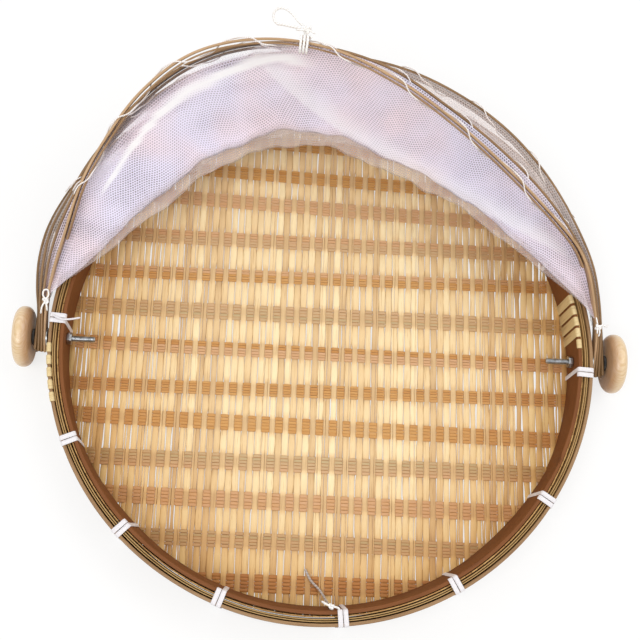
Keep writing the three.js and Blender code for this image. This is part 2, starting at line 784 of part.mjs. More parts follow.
// A thin closed sheet: the grid is moved both ways along its normals by half the thickness.
function sheetSolid(grid, thickness) {
  const columns = grid.length;
  const rows = grid[0].length;
  const at = (i, j) => grid[Math.min(Math.max(i, 0), columns - 1)][Math.min(Math.max(j, 0), rows - 1)];
  const layers = [1, -1].map((side) =>
    grid.map((column, i) =>
      column.map((point, j) => {
        const alongColumns = at(i + 1, j).clone().sub(at(i - 1, j));
        const alongRows = at(i, j + 1).clone().sub(at(i, j - 1));
        const normal = alongColumns.cross(alongRows).normalize();
        return point.clone().addScaledVector(normal, (side * thickness) / 2);
      }),
    ),
  );
  const positions = layers.flat(2).flatMap((p) => [p.x, p.y, p.z]);
  const id = (layer, i, j) => (layer * columns + i) * rows + j;
  const index = [];
  const quad = (a, b, c, d) => index.push(a, b, c, a, c, d);
  for (let i = 0; i + 1 < columns; i += 1) {
    for (let j = 0; j + 1 < rows; j += 1) {
      quad(id(0, i, j), id(0, i + 1, j), id(0, i + 1, j + 1), id(0, i, j + 1));
      quad(id(1, i, j), id(1, i, j + 1), id(1, i + 1, j + 1), id(1, i + 1, j));
    }
    quad(id(0, i, 0), id(1, i, 0), id(1, i + 1, 0), id(0, i + 1, 0));
    quad(id(0, i, rows - 1), id(0, i + 1, rows - 1), id(1, i + 1, rows - 1), id(1, i, rows - 1));
  }
  for (let j = 0; j + 1 < rows; j += 1) {
    quad(id(0, 0, j), id(0, 0, j + 1), id(1, 0, j + 1), id(1, 0, j));
    quad(id(0, columns - 1, j), id(1, columns - 1, j), id(1, columns - 1, j + 1), id(0, columns - 1, j + 1));
  }
  const geometry = new THREE.BufferGeometry();
  geometry.setAttribute("position", new THREE.Float32BufferAttribute(positions, 3));
  geometry.setIndex(index);
  geometry.computeVertexNormals();
  return geometry;
}

// The thread passes through the net, so each panel has small holes round it.
function threadHoles(index) {
  const holes = spiral(threadStations(index), threadDiameter + 2 * seat, 4);
  holes.rotateX(degrees(restAngles[index]));
  return holes.translate(0, 0, pivotHeight);
}

// The string at the top of the front hoop passes through the front panel in one wider hole.
const topTieShare = 0.518;
const topTieTurns = 3;
const topTiePlay = threadPlay + threadDiameter + seat;

function topTieHole() {
  const { point, along } = hoopPlace(frontHoop, topTieShare, -hemInset, -hemExit);
  const room = stringDiameter * (topTieTurns + 2);
  const hole = new THREE.BoxGeometry(room, 2 * topTiePlay + 2 * stringDiameter, 4 * stringDiameter);
  hole.rotateZ(Math.atan2(along.y, along.x));
  hole.translate(point.x, point.y, point.z);
  hole.rotateX(degrees(restAngles[frontHoop]));
  return hole.translate(0, 0, pivotHeight);
}

const netNames = ["rear_net_panel", "middle_net_panel", "front_net_panel"];
netNames.forEach((name, panel) => {
  const sheet = sheetSolid(netGrid(panel), netThickness);
  const holes = [threadHoles(panel), threadHoles(panel + 1)];
  if (panel + 1 === frontHoop) {
    holes.push(topTieHole());
  }
  object.add(piece(name, cut(sheet, holes), materials.net));
});

// Strings. A tie of three turns at the top of the front hoop carries a knot and a hanging loop.
const topPitch = stringDiameter * 1.35;
const topTie = (() => {
  const length = hoopCurves[frontHoop].getLength();
  const half = (topTieTurns * topPitch) / length / 2;
  const outline = turnOutline(stringDiameter, topTiePlay);
  const from = topTieShare - half;
  const stations = spiralStations(frontHoop, outline, topTieTurns, from, from + 2 * half);
  const gap = leastTurnDistance(stations, outline.length) - stringDiameter;
  console.log(`top tie: least gap to itself ${gap.toFixed(2)} mm`);
  return spiral(stations, stringDiameter, 6);
})();
hoops[frontHoop].add(piece("top_string_tie", topTie, materials.string));

// A knot is a small round lump, a little flat on the side that lies against its seat.
function lump(diameter, place) {
  const ball = new THREE.SphereGeometry(diameter / 2, 10, 7);
  ball.scale(1, 1, 0.8);
  return ball.translate(place.x, place.y, place.z);
}

const topOutside = stripThickness / 2 + topTiePlay + stringDiameter + seat + knotDiameter / 2;
const topKnotPlace = hoopPlace(frontHoop, topTieShare, topOutside, 0).point;
hoops[frontHoop].add(piece("top_string_knot", lump(knotDiameter, topKnotPlace), materials.string));

// Tube along a smooth route through the given points.
function cord(points, steps) {
  const circle = new THREE.Shape();
  const sides = 8;
  for (let i = 0; i < sides; i += 1) {
    const angle = (2 * Math.PI * i) / sides;
    const x = (Math.cos(angle) * stringDiameter) / 2;
    const y = (Math.sin(angle) * stringDiameter) / 2;
    if (i === 0) {
      circle.moveTo(x, y);
    } else {
      circle.lineTo(x, y);
    }
  }
  const extrudePath = new THREE.CatmullRomCurve3(points, false, "centripetal");
  return new THREE.ExtrudeGeometry(circle, { steps, bevelEnabled: false, extrudePath });
}

// The loop hangs outwards over the rear hoops. Its route is told from the knot's middle, in the
// front hoop's plane: X to the right, Y outwards and Z up.
const loopRoute = [
  [-2.8, 2.2, -1], [-6, 5, -2], [-9.8, 9, -3.4], [-14.3, 11.4, -5.3], [-17.8, 11.1, -6.6],
  [-20.2, 8.5, -7.5], [-20.2, 4.9, -7.5], [-17.8, 2.3, -6.6], [-14.3, 2, -5.3], [-10.2, 1.3, -3.5],
  [-6.6, 0.8, -2.1], [-3.5, 0.3, -1],
].map(([x, y, z]) => new THREE.Vector3(x, y, z).add(topKnotPlace));
hoops[frontHoop].add(piece("top_string_loop", cord(loopRoute, 26), materials.string));

// Knots of the net's gathered ends, on the upper edge of the front hoop near both bolts.
const sideKnotShare = 0.045;
for (const [share, name] of [[1 - sideKnotShare, "left"], [sideKnotShare, "right"]]) {
  const across = stripWidth / 2 + seat + sideKnotDiameter * 0.4;
  const { point } = hoopPlace(frontHoop, share, 0, across);
  hoops[frontHoop].add(piece(`${name}_side_knot`, lump(sideKnotDiameter, point), materials.string));
}

// A short string hangs from a knot inside the front of the rim and ends on the mat.
const frontKnotTurn = degrees(frontStringAngle);
const frontKnotRadius = innerHoopInside - seat - frontKnotDiameter / 2;
const frontKnotPlace = new THREE.Vector3(
  frontKnotRadius * Math.cos(frontKnotTurn),
  frontKnotRadius * Math.sin(frontKnotTurn),
  rimHeight - frontKnotDiameter / 2,
);
object.add(piece("front_string_knot", lump(frontKnotDiameter, frontKnotPlace), materials.string));

// Its route, told from the knot: to the right, to the back, and as a share of its drop to the mat.
const stringTop = frontKnotPlace.z - frontKnotDiameter * 0.4 - stringDiameter;
const stringBottom = matThickness + seat + stringDiameter / 2;
const frontStringRoute = [
  [0, 0, 1], [-0.2, 0.4, 0.8], [-0.9, 1.6, 0.46], [-2.5, 5.1, 0.155], [-6.1, 10.6, 0.01],
  [-11.6, 16.1, 0], [-15.6, 23.1, 0],
].map(([x, y, share]) =>
  new THREE.Vector3(
    frontKnotPlace.x + x,
    frontKnotPlace.y + y,
    THREE.MathUtils.lerp(stringBottom, stringTop, share),
  ),
);
object.add(piece("front_string", cord(frontStringRoute, 14), materials.string));

export default object;
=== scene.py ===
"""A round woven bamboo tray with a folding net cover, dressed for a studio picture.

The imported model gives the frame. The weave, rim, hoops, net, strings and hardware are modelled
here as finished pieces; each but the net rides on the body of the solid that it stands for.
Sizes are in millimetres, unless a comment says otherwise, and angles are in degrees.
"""

import logging
import math
import random
from contextlib import contextmanager
from dataclasses import dataclass, field
from enum import Enum
from typing import ClassVar, Iterator, Sequence

import bpy
import numpy as np
from mathutils import Euler, Matrix, Vector


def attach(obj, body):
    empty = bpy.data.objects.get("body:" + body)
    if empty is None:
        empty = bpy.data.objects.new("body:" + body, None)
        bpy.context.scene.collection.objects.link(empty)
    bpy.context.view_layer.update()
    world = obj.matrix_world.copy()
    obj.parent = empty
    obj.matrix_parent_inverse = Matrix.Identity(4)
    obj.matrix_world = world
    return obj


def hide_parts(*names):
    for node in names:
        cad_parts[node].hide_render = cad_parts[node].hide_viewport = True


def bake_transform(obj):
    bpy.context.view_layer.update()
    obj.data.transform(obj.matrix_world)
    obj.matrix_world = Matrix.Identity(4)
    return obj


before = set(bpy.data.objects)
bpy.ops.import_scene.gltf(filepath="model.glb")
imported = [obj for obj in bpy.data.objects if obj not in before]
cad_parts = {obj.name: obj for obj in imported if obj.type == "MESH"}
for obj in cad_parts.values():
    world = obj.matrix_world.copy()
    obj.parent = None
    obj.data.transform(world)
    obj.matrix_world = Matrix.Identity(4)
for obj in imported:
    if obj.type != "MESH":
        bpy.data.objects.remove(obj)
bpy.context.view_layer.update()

logging.basicConfig(level=logging.INFO, format="%(name)s: %(message)s")
log = logging.getLogger("basket")

MM = 0.001
PIVOT_HEIGHT = 17.0
HALF_HOOP_DEPTH = 192.0
TRAY_RADIUS = 175.0
RIM_HEIGHT = 30.0
INNER_HOOP_RADII = (165.4, 167.8)
OUTER_HOOP_RADII = (172.9, TRAY_RADIUS)
UP = Vector((0, 0, 1))


class Body(Enum):
    """The moving parts of the frame."""

    TRAY = "tray"
    SECOND = "second_hoop"
    THIRD = "third_hoop"
    FRONT = "front_hoop"


class Slot(Enum):
    """The finishes of the record."""

    SPLINT = "splint"
    RIM = "rim_bamboo"
    FILLER = "filler_bamboo"
    HOOP = "hoop_bamboo"
    SKIN = "bamboo_skin"
    KNOB = "knob_wood"
    STEEL = "steel"
    RUBBER = "rubber"
    STRING = "string"
    NET = "net"


# Curves


def smooth(value: float) -> float:
    """Ease a share from 0 to 1."""
    value = min(max(value, 0.0), 1.0)
    return value * value * (3 - 2 * value)


def mix(low: float, high: float, share: float) -> float:
    """The value at a share of the way from low to high."""
    return low + (high - low) * share


def outward(angle: float) -> Vector:
    """The level direction at an angle in radians about the tray's middle."""
    return Vector((math.cos(angle), math.sin(angle), 0))


@dataclass
class Bend:
    """A smooth line through given places, which can be walked by shares of its length.

    Args:
        places: the places.
        fineness: straight steps between two neighbouring places.
    """

    places: Sequence[Sequence[float]]
    fineness: int = 24
    table: np.ndarray = field(init=False)
    lengths: np.ndarray = field(init=False)

    def __post_init__(self) -> None:
        """Work out a fine table of places and the length up to each."""
        p = np.array([tuple(q) for q in self.places], float)
        p = np.vstack([2 * p[0] - p[1], p, 2 * p[-1] - p[-2]])
        rows = []
        for i in range(1, len(p) - 2):
            before, here, after = (
                max(np.linalg.norm(p[i + k] - p[i + k - 1]) ** 0.5, 1e-4) for k in (0, 1, 2)
            )
            first = (p[i] - p[i - 1]) / before - (p[i + 1] - p[i - 1]) / (before + here)
            first = (first + (p[i + 1] - p[i]) / here) * here
            second = (p[i + 1] - p[i]) / here - (p[i + 2] - p[i]) / (here + after)
            second = (second + (p[i + 2] - p[i + 1]) / after) * here
            cubic = 2 * p[i] - 2 * p[i + 1] + first + second
            square = -3 * p[i] + 3 * p[i + 1] - 2 * first - second
            last = i == len(p) - 3
            for s in np.linspace(0, 1, self.fineness + 1)[: None if last else -1]:
                rows.append(p[i] + first * s + square * s * s + cubic * s**3)
        self.table = np.array(rows)
        steps = np.linalg.norm(np.diff(self.table, axis=0), axis=1)
        self.lengths = np.concatenate([[0], np.cumsum(steps)])

    @property
    def length(self) -> float:
        """The whole length."""
        return float(self.lengths[-1])

    def at(self, share: float) -> Vector:
        """The place at a share of the length."""
        s = share * self.length
        return Vector([float(np.interp(s, self.lengths, self.table[:, k])) for k in range(3)])

    def along(self, share: float) -> Vector:
        """The direction at a share of the length, read over a short step."""
        step = 0.004
        return (self.at(min(share + step, 1)) - self.at(max(share - step, 0))).normalized()


# Modelling


def select_only(*pieces: bpy.types.Object) -> None:
    """Select the pieces that the next operator acts on, and nothing else.

    Args:
        pieces: the pieces, of which the first becomes the active one.
    """
    if bpy.context.object and bpy.context.object.mode != "OBJECT":
        bpy.ops.object.mode_set(mode="OBJECT")
    bpy.ops.object.select_all(action="DESELECT")
    for piece in pieces:
        piece.select_set(True)
    if pieces:
        bpy.context.view_layer.objects.active = pieces[0]


@contextmanager
def editing() -> Iterator[None]:
    """Work in edit mode on the active piece, with all of it selected.

    Returns:
        A context that ends in object mode again.
    """
    bpy.ops.object.mode_set(mode="EDIT")
    bpy.ops.mesh.select_all(action="SELECT")
    yield
    bpy.ops.object.mode_set(mode="OBJECT")


def named(name: str) -> bpy.types.Object:
    """Name the active object and its mesh.

    Args:
        name: the new name of both.

    Returns:
        The object.
    """
    piece = bpy.context.object
    piece.name = name
    piece.data.name = name
    return piece


def close_up() -> None:
    """In edit mode: merge doubles, cap open ends and turn all faces outwards."""
    bpy.ops.mesh.remove_doubles(threshold=0.01 * MM)
    bpy.ops.mesh.select_all(action="DESELECT")
    bpy.ops.mesh.select_mode(type="EDGE")
    bpy.ops.mesh.select_non_manifold(extend=False, use_wire=False, use_multi_face=False)
    bpy.ops.mesh.fill_holes(sides=0)
    bpy.ops.mesh.select_mode(type="VERT")
    bpy.ops.mesh.select_all(action="SELECT")
    bpy.ops.mesh.normals_make_consistent(inside=False)


def smooth_by_angle(piece: bpy.types.Object, angle: float) -> None:
    """Shade a piece smooth, with edges sharper than the angle left sharp."""
    select_only(piece)
    bpy.ops.object.shade_smooth_by_angle(angle=math.radians(angle))


def store(piece: bpy.types.Object, name: str, values: Sequence[float]) -> None:
    """Store one number for each place of a piece, for its material to read."""
    attribute = piece.data.attributes.new(name, "FLOAT", "POINT")
    attribute.data.foreach_set("value", np.array(values, np.float32))


def spread_uv(mesh: bpy.types.Mesh, uv: np.ndarray) -> None:
    """Give a mesh its UV map from one pair of values for each place.

    Args:
        mesh: the mesh.
        uv: the pairs, in metres along the piece and across it.
    """
    corners = np.zeros(len(mesh.loops), int)
    mesh.loops.foreach_get("vertex_index", corners)
    layer = mesh.uv_layers.active or mesh.uv_layers.new(name="along")
    layer.data.foreach_set("uv", uv[corners].ravel())


def laid_grid(
    name: str,
    rings: Sequence[Sequence[Vector]],
    tube: bool = True,
    sharp: float = 40,
) -> bpy.types.Object:
    """Lay a grid primitive over rows of places, as a closed tube or a sheet.

    Args:
        name: the piece's name.
        rings: rows of places, all of one length; a tube's rows go once round it.
        tube: close each row into a ring and cap both ends.
        sharp: the angle above which an edge stays sharp.

    Returns:
        The object. Its UV map runs in metres, along the rows' line and across it.
    """
    rows = [list(ring) + [ring[0]] if tube else list(ring) for ring in rings]
    count, width = len(rows), len(rows[0])
    select_only()
    bpy.ops.mesh.primitive_grid_add(x_subdivisions=width - 1, y_subdivisions=count - 1, size=1)
    piece = named(name)
    places = np.array([tuple(p) for row in rows for p in row], float).reshape(count, width, 3)
    piece.data.vertices.foreach_set("co", (places * MM).ravel())
    middle = places.mean(axis=1)
    run = np.concatenate([[0], np.cumsum(np.linalg.norm(np.diff(middle, axis=0), axis=1))])
    across = np.zeros((count, width))
    across[:, 1:] = np.cumsum(np.linalg.norm(np.diff(places, axis=1), axis=2), axis=1)
    uv = np.stack([np.repeat(run[:, None], width, axis=1), across], axis=2)
    spread_uv(piece.data, uv.reshape(-1, 2) * MM)
    piece.data.update()
    if tube:
        with editing():
            close_up()
    smooth_by_angle(piece, sharp)
    return piece


def spun(
    name: str,
    profile: Sequence[tuple[float, float]],
    steps: int,
    axis: str = "Z",
    sharp: float = 35,
) -> bpy.types.Object:
    """Spin a closed outline once round an axis.

    Args:
        name: the piece's name.
        profile: radius and place along the axis, once round the section.
        steps: steps of the full turn.
        axis: "Z" for the tray's upright line, or "X" for the pivot line.
        sharp: the angle above which an edge stays sharp.

    Returns:
        The object.
    """
    select_only()
    bpy.ops.mesh.primitive_circle_add(vertices=len(profile), radius=1, fill_type="NOTHING")
    piece = named(name)
    centre = Vector((0, 0, PIVOT_HEIGHT)) if axis == "X" else Vector((0, 0, 0))
    for vertex, (radius, place) in zip(piece.data.vertices, profile):
        local = Vector((place, 0, radius)) if axis == "X" else Vector((radius, 0, place))
        vertex.co = (centre + local) * MM
    with editing():
        bpy.ops.mesh.spin(
            steps=steps,
            angle=2 * math.pi,
            center=centre * MM,
            axis=(1, 0, 0) if axis == "X" else (0, 0, 1),
            use_auto_merge=True,
        )
        bpy.ops.mesh.select_all(action="SELECT")
        close_up()
    smooth_by_angle(piece, sharp)
    return piece


def rounded_box(low: float, high: float, bottom: float, top: float, edge: float) -> list:
    """The outline of a rectangle of radii and heights with rounded corners.

    Args:
        low: its inner radius.
        high: its outer radius.
        bottom: its lower height.
        top: its upper height.
        edge: the radius of its corners.

    Returns:
        The places once round it.
    """
    outline = []
    corners = [(high, top, 0), (low, top, 90), (low, bottom, 180), (high, bottom, 270)]
    for x, y, start in corners:
        cx = x - edge if x == high else x + edge
        cy = y - edge if y == top else y + edge
        for turn in (0, 30, 60, 90):
            angle = math.radians(start + turn)
            outline.append((cx + edge * math.cos(angle), cy + edge * math.sin(angle)))
    return outline


def cord_piece(
    name: str,
    line: Bend,
    diameter: float,
    steps: int,
    sides: int = 10,
    ends: bool = True,
) -> bpy.types.Object:
    """Lay a round cord along a line.

    Args:
        name: the piece's name.
        line: its middle line.
        diameter: its thickness.
        steps: steps along it.
        sides: faces round it.
        ends: whether its ends are drawn in.

    Returns:
        The object.
    """
    rings = []
    side = None
    for i in range(steps + 1):
        share = i / steps
        along = line.along(share)
        if side is None:
            side = along.orthogonal().normalized()
        side = (side - along * side.dot(along)).normalized()
        other = along.cross(side)
        thick = diameter / 2 * (0.45 if ends and i in (0, steps) else 1.0)
        centre = line.at(share)
        rings.append([
            centre + (side * math.cos(t) + other * math.sin(t)) * thick
            for t in (2 * math.pi * k / sides for k in range(sides))
        ])
    return laid_grid(name, rings, sharp=80)


def finished(
    piece: bpy.types.Object,
    body: Body,
    slot: Slot,
    material: bpy.types.Material,
    *nodes: str,
    tone: float | None = None,
) -> None:
    """Give a piece its material, seat it on its body and hide what it stands for.

    Args:
        piece: the piece.
        body: the body that it rides on.
        slot: the record's finish; not used.
        material: its material.
        nodes: the solids that it stands for.
        tone: the shade of the whole piece, from 0 to 1, where its material reads one.
    """
    if tone is not None:
        store(piece, "tone", np.full(len(piece.data.vertices), tone))
    piece.data.materials.clear()
    piece.data.materials.append(material)
    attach(piece, body.value)
    if nodes:
        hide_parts(*nodes)
    log.info("%s on %s, %d faces", piece.name, body.value, len(piece.data.polygons))


# Finishes

WHITE = (1, 1, 1, 1)


def tint(colour: str | tuple) -> tuple:
    """A web colour as linear values, or linear values as they are.

    Args:
        colour: six hexadecimal digits, or three or four linear values.

    Returns:
        Red, green, blue and opacity.
    """
    if not isinstance(colour, str):
        return (*colour[:3], 1.0)
    parts = [int(colour[i : i + 2], 16) / 255 for i in (0, 2, 4)]
    return (*(c / 12.92 if c <= 0.04045 else ((c + 0.055) / 1.055) ** 2.4 for c in parts), 1.0)


class NodeBoard:
    """A material's nodes, laid out one after another."""

    def __init__(self, name: str, blended: bool = False) -> None:
        """Start a material with a plain surface shader.

        Args:
            name: the material's name.
            blended: whether the surface lets the background show through.
        """
        self.material = bpy.data.materials.new(name)
        self.material.use_nodes = True
        self.tree = self.material.node_tree
        self.shader = self.tree.nodes["Principled BSDF"]
        self.output = self.tree.nodes["Material Output"]
        if blended:
            self.material.surface_render_method = "DITHERED"

    def add(self, kind: str, settings: dict | None = None, **sockets: object) -> bpy.types.Node:
        """Add a node.

        Args:
            kind: the node's type without its prefix.
            settings: the node's own properties.
            sockets: values or outputs for its inputs; an underscore in a name reads as a space.

        Returns:
            The node.
        """
        node = self.tree.nodes.new("ShaderNode" + kind)
        for key, value in (settings or {}).items():
            setattr(node, key, value)
        for key, value in sockets.items():
            self.feed(node.inputs[key.replace("_", " ")], value)
        return node

    def feed(self, socket: bpy.types.NodeSocket, value: object) -> None:
        """Set a socket to a value, or join it to another node's output.

        Args:
            socket: the input.
            value: a number, a colour or an output.
        """
        if isinstance(value, bpy.types.NodeSocket):
            self.tree.links.new(value, socket)
        else:
            socket.default_value = value

    def maths(self, kind: str, *values: object) -> bpy.types.NodeSocket:
        """A sum of one to three values or outputs.

        Args:
            kind: the operation.
            values: its numbers or outputs.

        Returns:
            The result's output.
        """
        node = self.add("Math", {"operation": kind})
        for socket, value in zip(node.inputs, values):
            self.feed(socket, value)
        return node.outputs[0]

    def blend(self, share: object, low: object, high: object, how: str = "MIX") -> bpy.types.NodeSocket:
        """A colour between two others.

        Args:
            share: how much of the second colour there is.
            low: the first colour or output.
            high: the second colour or output.
            how: the way of mixing.

        Returns:
            The colour's output.
        """
        node = self.add("Mix", {"data_type": "RGBA", "blend_type": how})
        for place, value in ((0, share), (6, low), (7, high)):
            self.feed(node.inputs[place], value)
        return node.outputs[2]

    def darkened(self, share: float, colour: object, by: object) -> bpy.types.NodeSocket:
        """A colour multiplied by another, by a share."""
        return self.blend(share, colour, self.blend(1.0, colour, by, "MULTIPLY"))

    def ramp(self, share: bpy.types.NodeSocket, *stops: tuple[float, str | tuple]) -> bpy.types.NodeSocket:
        """A colour read from stops.

        Args:
            share: where on the ramp to read.
            stops: places on the ramp with their colours.

        Returns:
            The colour's output.
        """
        node = self.add("ValToRGB", Fac=share)
        points = node.color_ramp.elements
        while len(points) < len(stops):
            points.new(0.5)
        for point, (place, colour) in zip(points, stops):
            point.position = place
            point.color = tint(colour)
        return node.outputs["Color"]

    def noise(
        self,
        vector: object,
        scale: float | Sequence[float],
        detail: float = 3,
        rough: float = 0.5,
    ) -> bpy.types.NodeSocket:
        """Cloudy noise from 0 to 1.

        Args:
            vector: the coordinates.
            scale: how fine it is, as one number or as one for each axis.
            detail: how many finer layers it has.
            rough: how strong they are.

        Returns:
            The noise's output.
        """
        if not isinstance(scale, (int, float)):
            vector, scale = self.stretched(vector, scale), 1.0
        node = self.add("TexNoise", Vector=vector, Scale=scale, Detail=detail, Roughness=rough)
        return node.outputs["Fac"]

    def stretched(self, vector: object, scale: Sequence[float]) -> bpy.types.NodeSocket:
        """Coordinates stretched along each axis."""
        return self.add("Mapping", Vector=vector, Scale=tuple(scale)).outputs["Vector"]

    def ranged(self, value: object, low: float, high: float) -> bpy.types.NodeSocket:
        """A value from 0 at one end of a range to 1 at the other."""
        return self.add("MapRange", Value=value, From_Min=low, From_Max=high).outputs["Result"]

    def uv(self) -> bpy.types.NodeSocket:
        """The piece's own coordinates, along its length and across."""
        return self.add("TexCoord").outputs["UV"]

    def place(self) -> bpy.types.NodeSocket:
        """The place in the frame."""
        return self.add("TexCoord").outputs["Object"]

    def stored(self, name: str) -> bpy.types.NodeSocket:
        """A number that is stored on the piece."""
        return self.add("Attribute", {"attribute_name": name}).outputs["Fac"]

    def with_rim_shade(self, colour: bpy.types.NodeSocket) -> bpy.types.NodeSocket:
        """A colour with painted shade: darker and more golden towards the tray's sides and front.

        Args:
            colour: the colour in the middle.

        Returns:
            The colour's output, with the painted shade.
        """
        place = self.add("SeparateXYZ", Vector=self.place())
        front, side = self.maths("MINIMUM", place.outputs["Y"], 0.0), place.outputs["X"]
        square = self.maths("MULTIPLY_ADD", front, front, self.maths("MULTIPLY", side, side))
        # Painted shade of the rim: a golden darkening that grows with the distance from the middle, at the
        # front and sides.
        rim_shade_colour = self.blend(1.0, colour, tint((0.76, 0.6, 0.38)), "MULTIPLY")
        return self.blend(self.ranged(square, 0.006, 0.026), colour, rim_shade_colour)

    def bumped(self, height: bpy.types.NodeSocket, strength: float, distance: float) -> None:
        """Roughen the surface by a height."""
        bump = self.add("Bump", Height=height, Strength=strength, Distance=distance)
        self.feed(self.shader.inputs["Normal"], bump.outputs["Normal"])

    def surface(self, **sockets: object) -> None:
        """Set the surface shader's inputs."""
        for key, value in sockets.items():
            self.feed(self.shader.inputs[key.replace("_", " ")], value)

    def shaded(self, share: object, first: bpy.types.Node, second: bpy.types.Node) -> bpy.types.Node:
        """Mix two shaders and show the mixture.

        Args:
            share: how much of the second one there is.
            first: the first shader's node.
            second: the second shader's node.

        Returns:
            The mixture's node.
        """
        mixture = self.add("MixShader")
        for socket, value in zip(mixture.inputs, (share, first.outputs[0], second.outputs[0])):
            self.feed(socket, value)
        self.feed(self.output.inputs["Surface"], mixture.outputs[0])
        return mixture


@dataclass(frozen=True)
class BambooFinish:
    """Split bamboo: fine fibres along the strip, with a shade of its own on each strip.

    Args:
        name: the material's name.
        pale: the lightest web colour.
        middle: the usual web colour.
        deep: the darkest web colour.
        fibres: fibres to a metre across the strip.
        gloss: how rough the surface is.
        waxy: a share of waxy skin.
        grain: how strongly the fibres show in the colour.
        rim_shade: whether painted shade makes it darker and more golden towards the tray's rim.
    """

    name: str
    pale: str
    middle: str
    deep: str
    fibres: float = 1500
    gloss: float = 0.5
    waxy: float = 0.0
    grain: float = 0.5
    rim_shade: bool = False

    def material(self) -> bpy.types.Material:
        """Build the material.

        Returns:
            The material.
        """
        n = NodeBoard(self.name)
        uv = n.uv()
        fibre = n.noise(uv, (45, self.fibres, 1), 4, 0.6)
        cloud = n.noise(uv, (22, 60, 1))
        mixed = n.maths("MULTIPLY_ADD", fibre, self.grain, n.stored("tone"))
        mixed = n.maths("MULTIPLY_ADD", cloud, 0.5, mixed)
        centred = n.maths("SUBTRACT", mixed, 0.25 + 0.5 * self.grain)
        colour = n.ramp(centred, (0.0, self.deep), (0.45, self.middle), (1.0, self.pale))
        # Painted shade towards the rim.
        if self.rim_shade:
            colour = n.with_rim_shade(colour)
        streak = n.ramp(fibre, (0.32, (0.62, 0.5, 0.38)), (0.42, WHITE))
        n.surface(
            Base_Color=n.darkened(0.6, colour, streak),
            Roughness=self.gloss,
            Coat_Weight=self.waxy,
            Coat_Roughness=0.35,
            Specular_IOR_Level=0.4,
        )
        n.bumped(fibre, 0.35, 0.00025)
        return n.material


@dataclass(frozen=True)
class BundleFinish:
    """The cross bundles: brown, tan and grey fine splints, with painted shade in the gaps between them.

    Args:
        name: the material's name.
        gap: the web colour of the painted shade between the splints.
        brown: the web colour of the brownest splints.
        tan: the web colour of the next ones.
        rose: the web colour of the ones after them.
        grey: the web colour of the greyest splints.
    """

    name: str = "bundle_splint"
    gap: str = "7d5426"
    brown: str = "bd8140"
    tan: str = "cd9854"
    rose: str = "d3a57a"
    grey: str = "c0a679"

    def material(self) -> bpy.types.Material:
        """Build the material.

        Returns:
            The material.
        """
        n = NodeBoard(self.name)
        fibre = n.noise(n.uv(), (60, 3500, 1))
        cloud = n.noise(n.place(), 55)
        share = n.maths("SUBTRACT", n.maths("MULTIPLY_ADD", cloud, 0.24, n.stored("tone")), 0.12)
        shades = (
            (0.05, self.gap), (0.28, self.brown), (0.46, self.tan), (0.72, self.rose), (0.95, self.grey),
        )
        # Painted shade towards the rim, as on the pale splints.
        colour = n.with_rim_shade(n.ramp(share, *shades))
        dark = n.ramp(fibre, (0.25, (0.6, 0.5, 0.4)), (0.5, WHITE))
        n.surface(Base_Color=n.darkened(0.7, colour, dark), Roughness=0.55)
        n.bumped(fibre, 0.4, 0.0002)
        return n.material


@dataclass(frozen=True)
class TurnedWoodFinish:
    """Varnished pale wood with soft growth rings, and painted shade that browns the face towards the hoops.

    Args:
        name: the material's name.
        pale: the web colour between the growth rings.
        deep: the web colour of the rings.
        brown: the web colour of the painted shade on the face towards the hoops.
        shade_until: the distance from the tray's middle where the painted shade is still full.
        unshaded_from: the distance from where on it has no painted shade.
    """

    name: str = "varnished_wood"
    pale: str = "e2c496"
    deep: str = "cfa974"
    brown: str = "b98a58"
    shade_until: float = 188.5
    unshaded_from: float = 192.5

    def material(self) -> bpy.types.Material:
        """Build the material.

        Returns:
            The material.
        """
        n = NodeBoard(self.name)
        place = n.place()
        bent = n.noise(place, (60, 18, 18), 2)
        rings = n.add(
            "TexWave",
            {"wave_type": "BANDS", "bands_direction": "Z"},
            Vector=n.stretched(place, (90, 60, 220)),
            Scale=1.0,
            Distortion=5.0,
            Detail=2.0,
            Detail_Scale=1.2,
        ).outputs["Fac"]
        fibre = n.noise(place, (300, 300, 2600))
        share = n.maths("MULTIPLY_ADD", rings, 0.45, n.maths("MULTIPLY", bent, 0.6))
        colour = n.ramp(share, (0.1, self.deep), (0.85, self.pale))
        # Painted shade: the face towards the hoops turns brown.
        side = n.maths("ABSOLUTE", n.add("SeparateXYZ", Vector=place).outputs["X"])
        inner = n.ranged(side, self.unshaded_from * MM, self.shade_until * MM)
        colour = n.blend(inner, colour, tint(self.brown))
        n.surface(
            Base_Color=n.blend(0.12, colour, n.ramp(fibre, (0.3, (0.5, 0.36, 0.2)), (0.6, WHITE))),
            Roughness=0.38,
            Coat_Weight=0.5,
            Coat_Roughness=0.18,
        )
        n.bumped(fibre, 0.08, 0.0002)
        return n.material


@dataclass(frozen=True)
class SteelFinish:
    """Zinc plated steel with fine scratches and small stains.

    Args:
        name: the material's name.
        stain: the web colour of the stains.
        bright: the web colour of the rest.
    """

    name: str = "zinc_steel"
    stain: str = "8d8c88"
    bright: str = "c9ccd0"

    def material(self) -> bpy.types.Material:
        """Build the material.

        Returns:
            The material.
        """
        n = NodeBoard(self.name)
        place = n.place()
        colour = n.ramp(n.noise(place, 420, 4), (0.3, self.stain), (0.62, self.bright))
        n.surface(Base_Color=colour, Metallic=1.0, Roughness=0.33)
        n.bumped(n.noise(place, (3000, 700, 700), 2), 0.15, 0.0001)
        return n.material


@dataclass(frozen=True)
class RubberFinish:
    """Dull black rubber with a little dust.

    Args:
        name: the material's name.
        black: the web colour of the rubber.
        dust: the web colour of the dust.
    """

    name: str = "black_rubber"
    black: str = "1f1d1c"
    dust: str = "4a4744"

    def material(self) -> bpy.types.Material:
        """Build the material.

        Returns:
            The material.
        """
        n = NodeBoard(self.name)
        dust = n.noise(n.place(), 600, 4)
        n.surface(Base_Color=n.ramp(dust, (0.35, self.black), (0.75, self.dust)), Roughness=0.75)
        n.bumped(dust, 0.3, 0.0002)
        return n.material


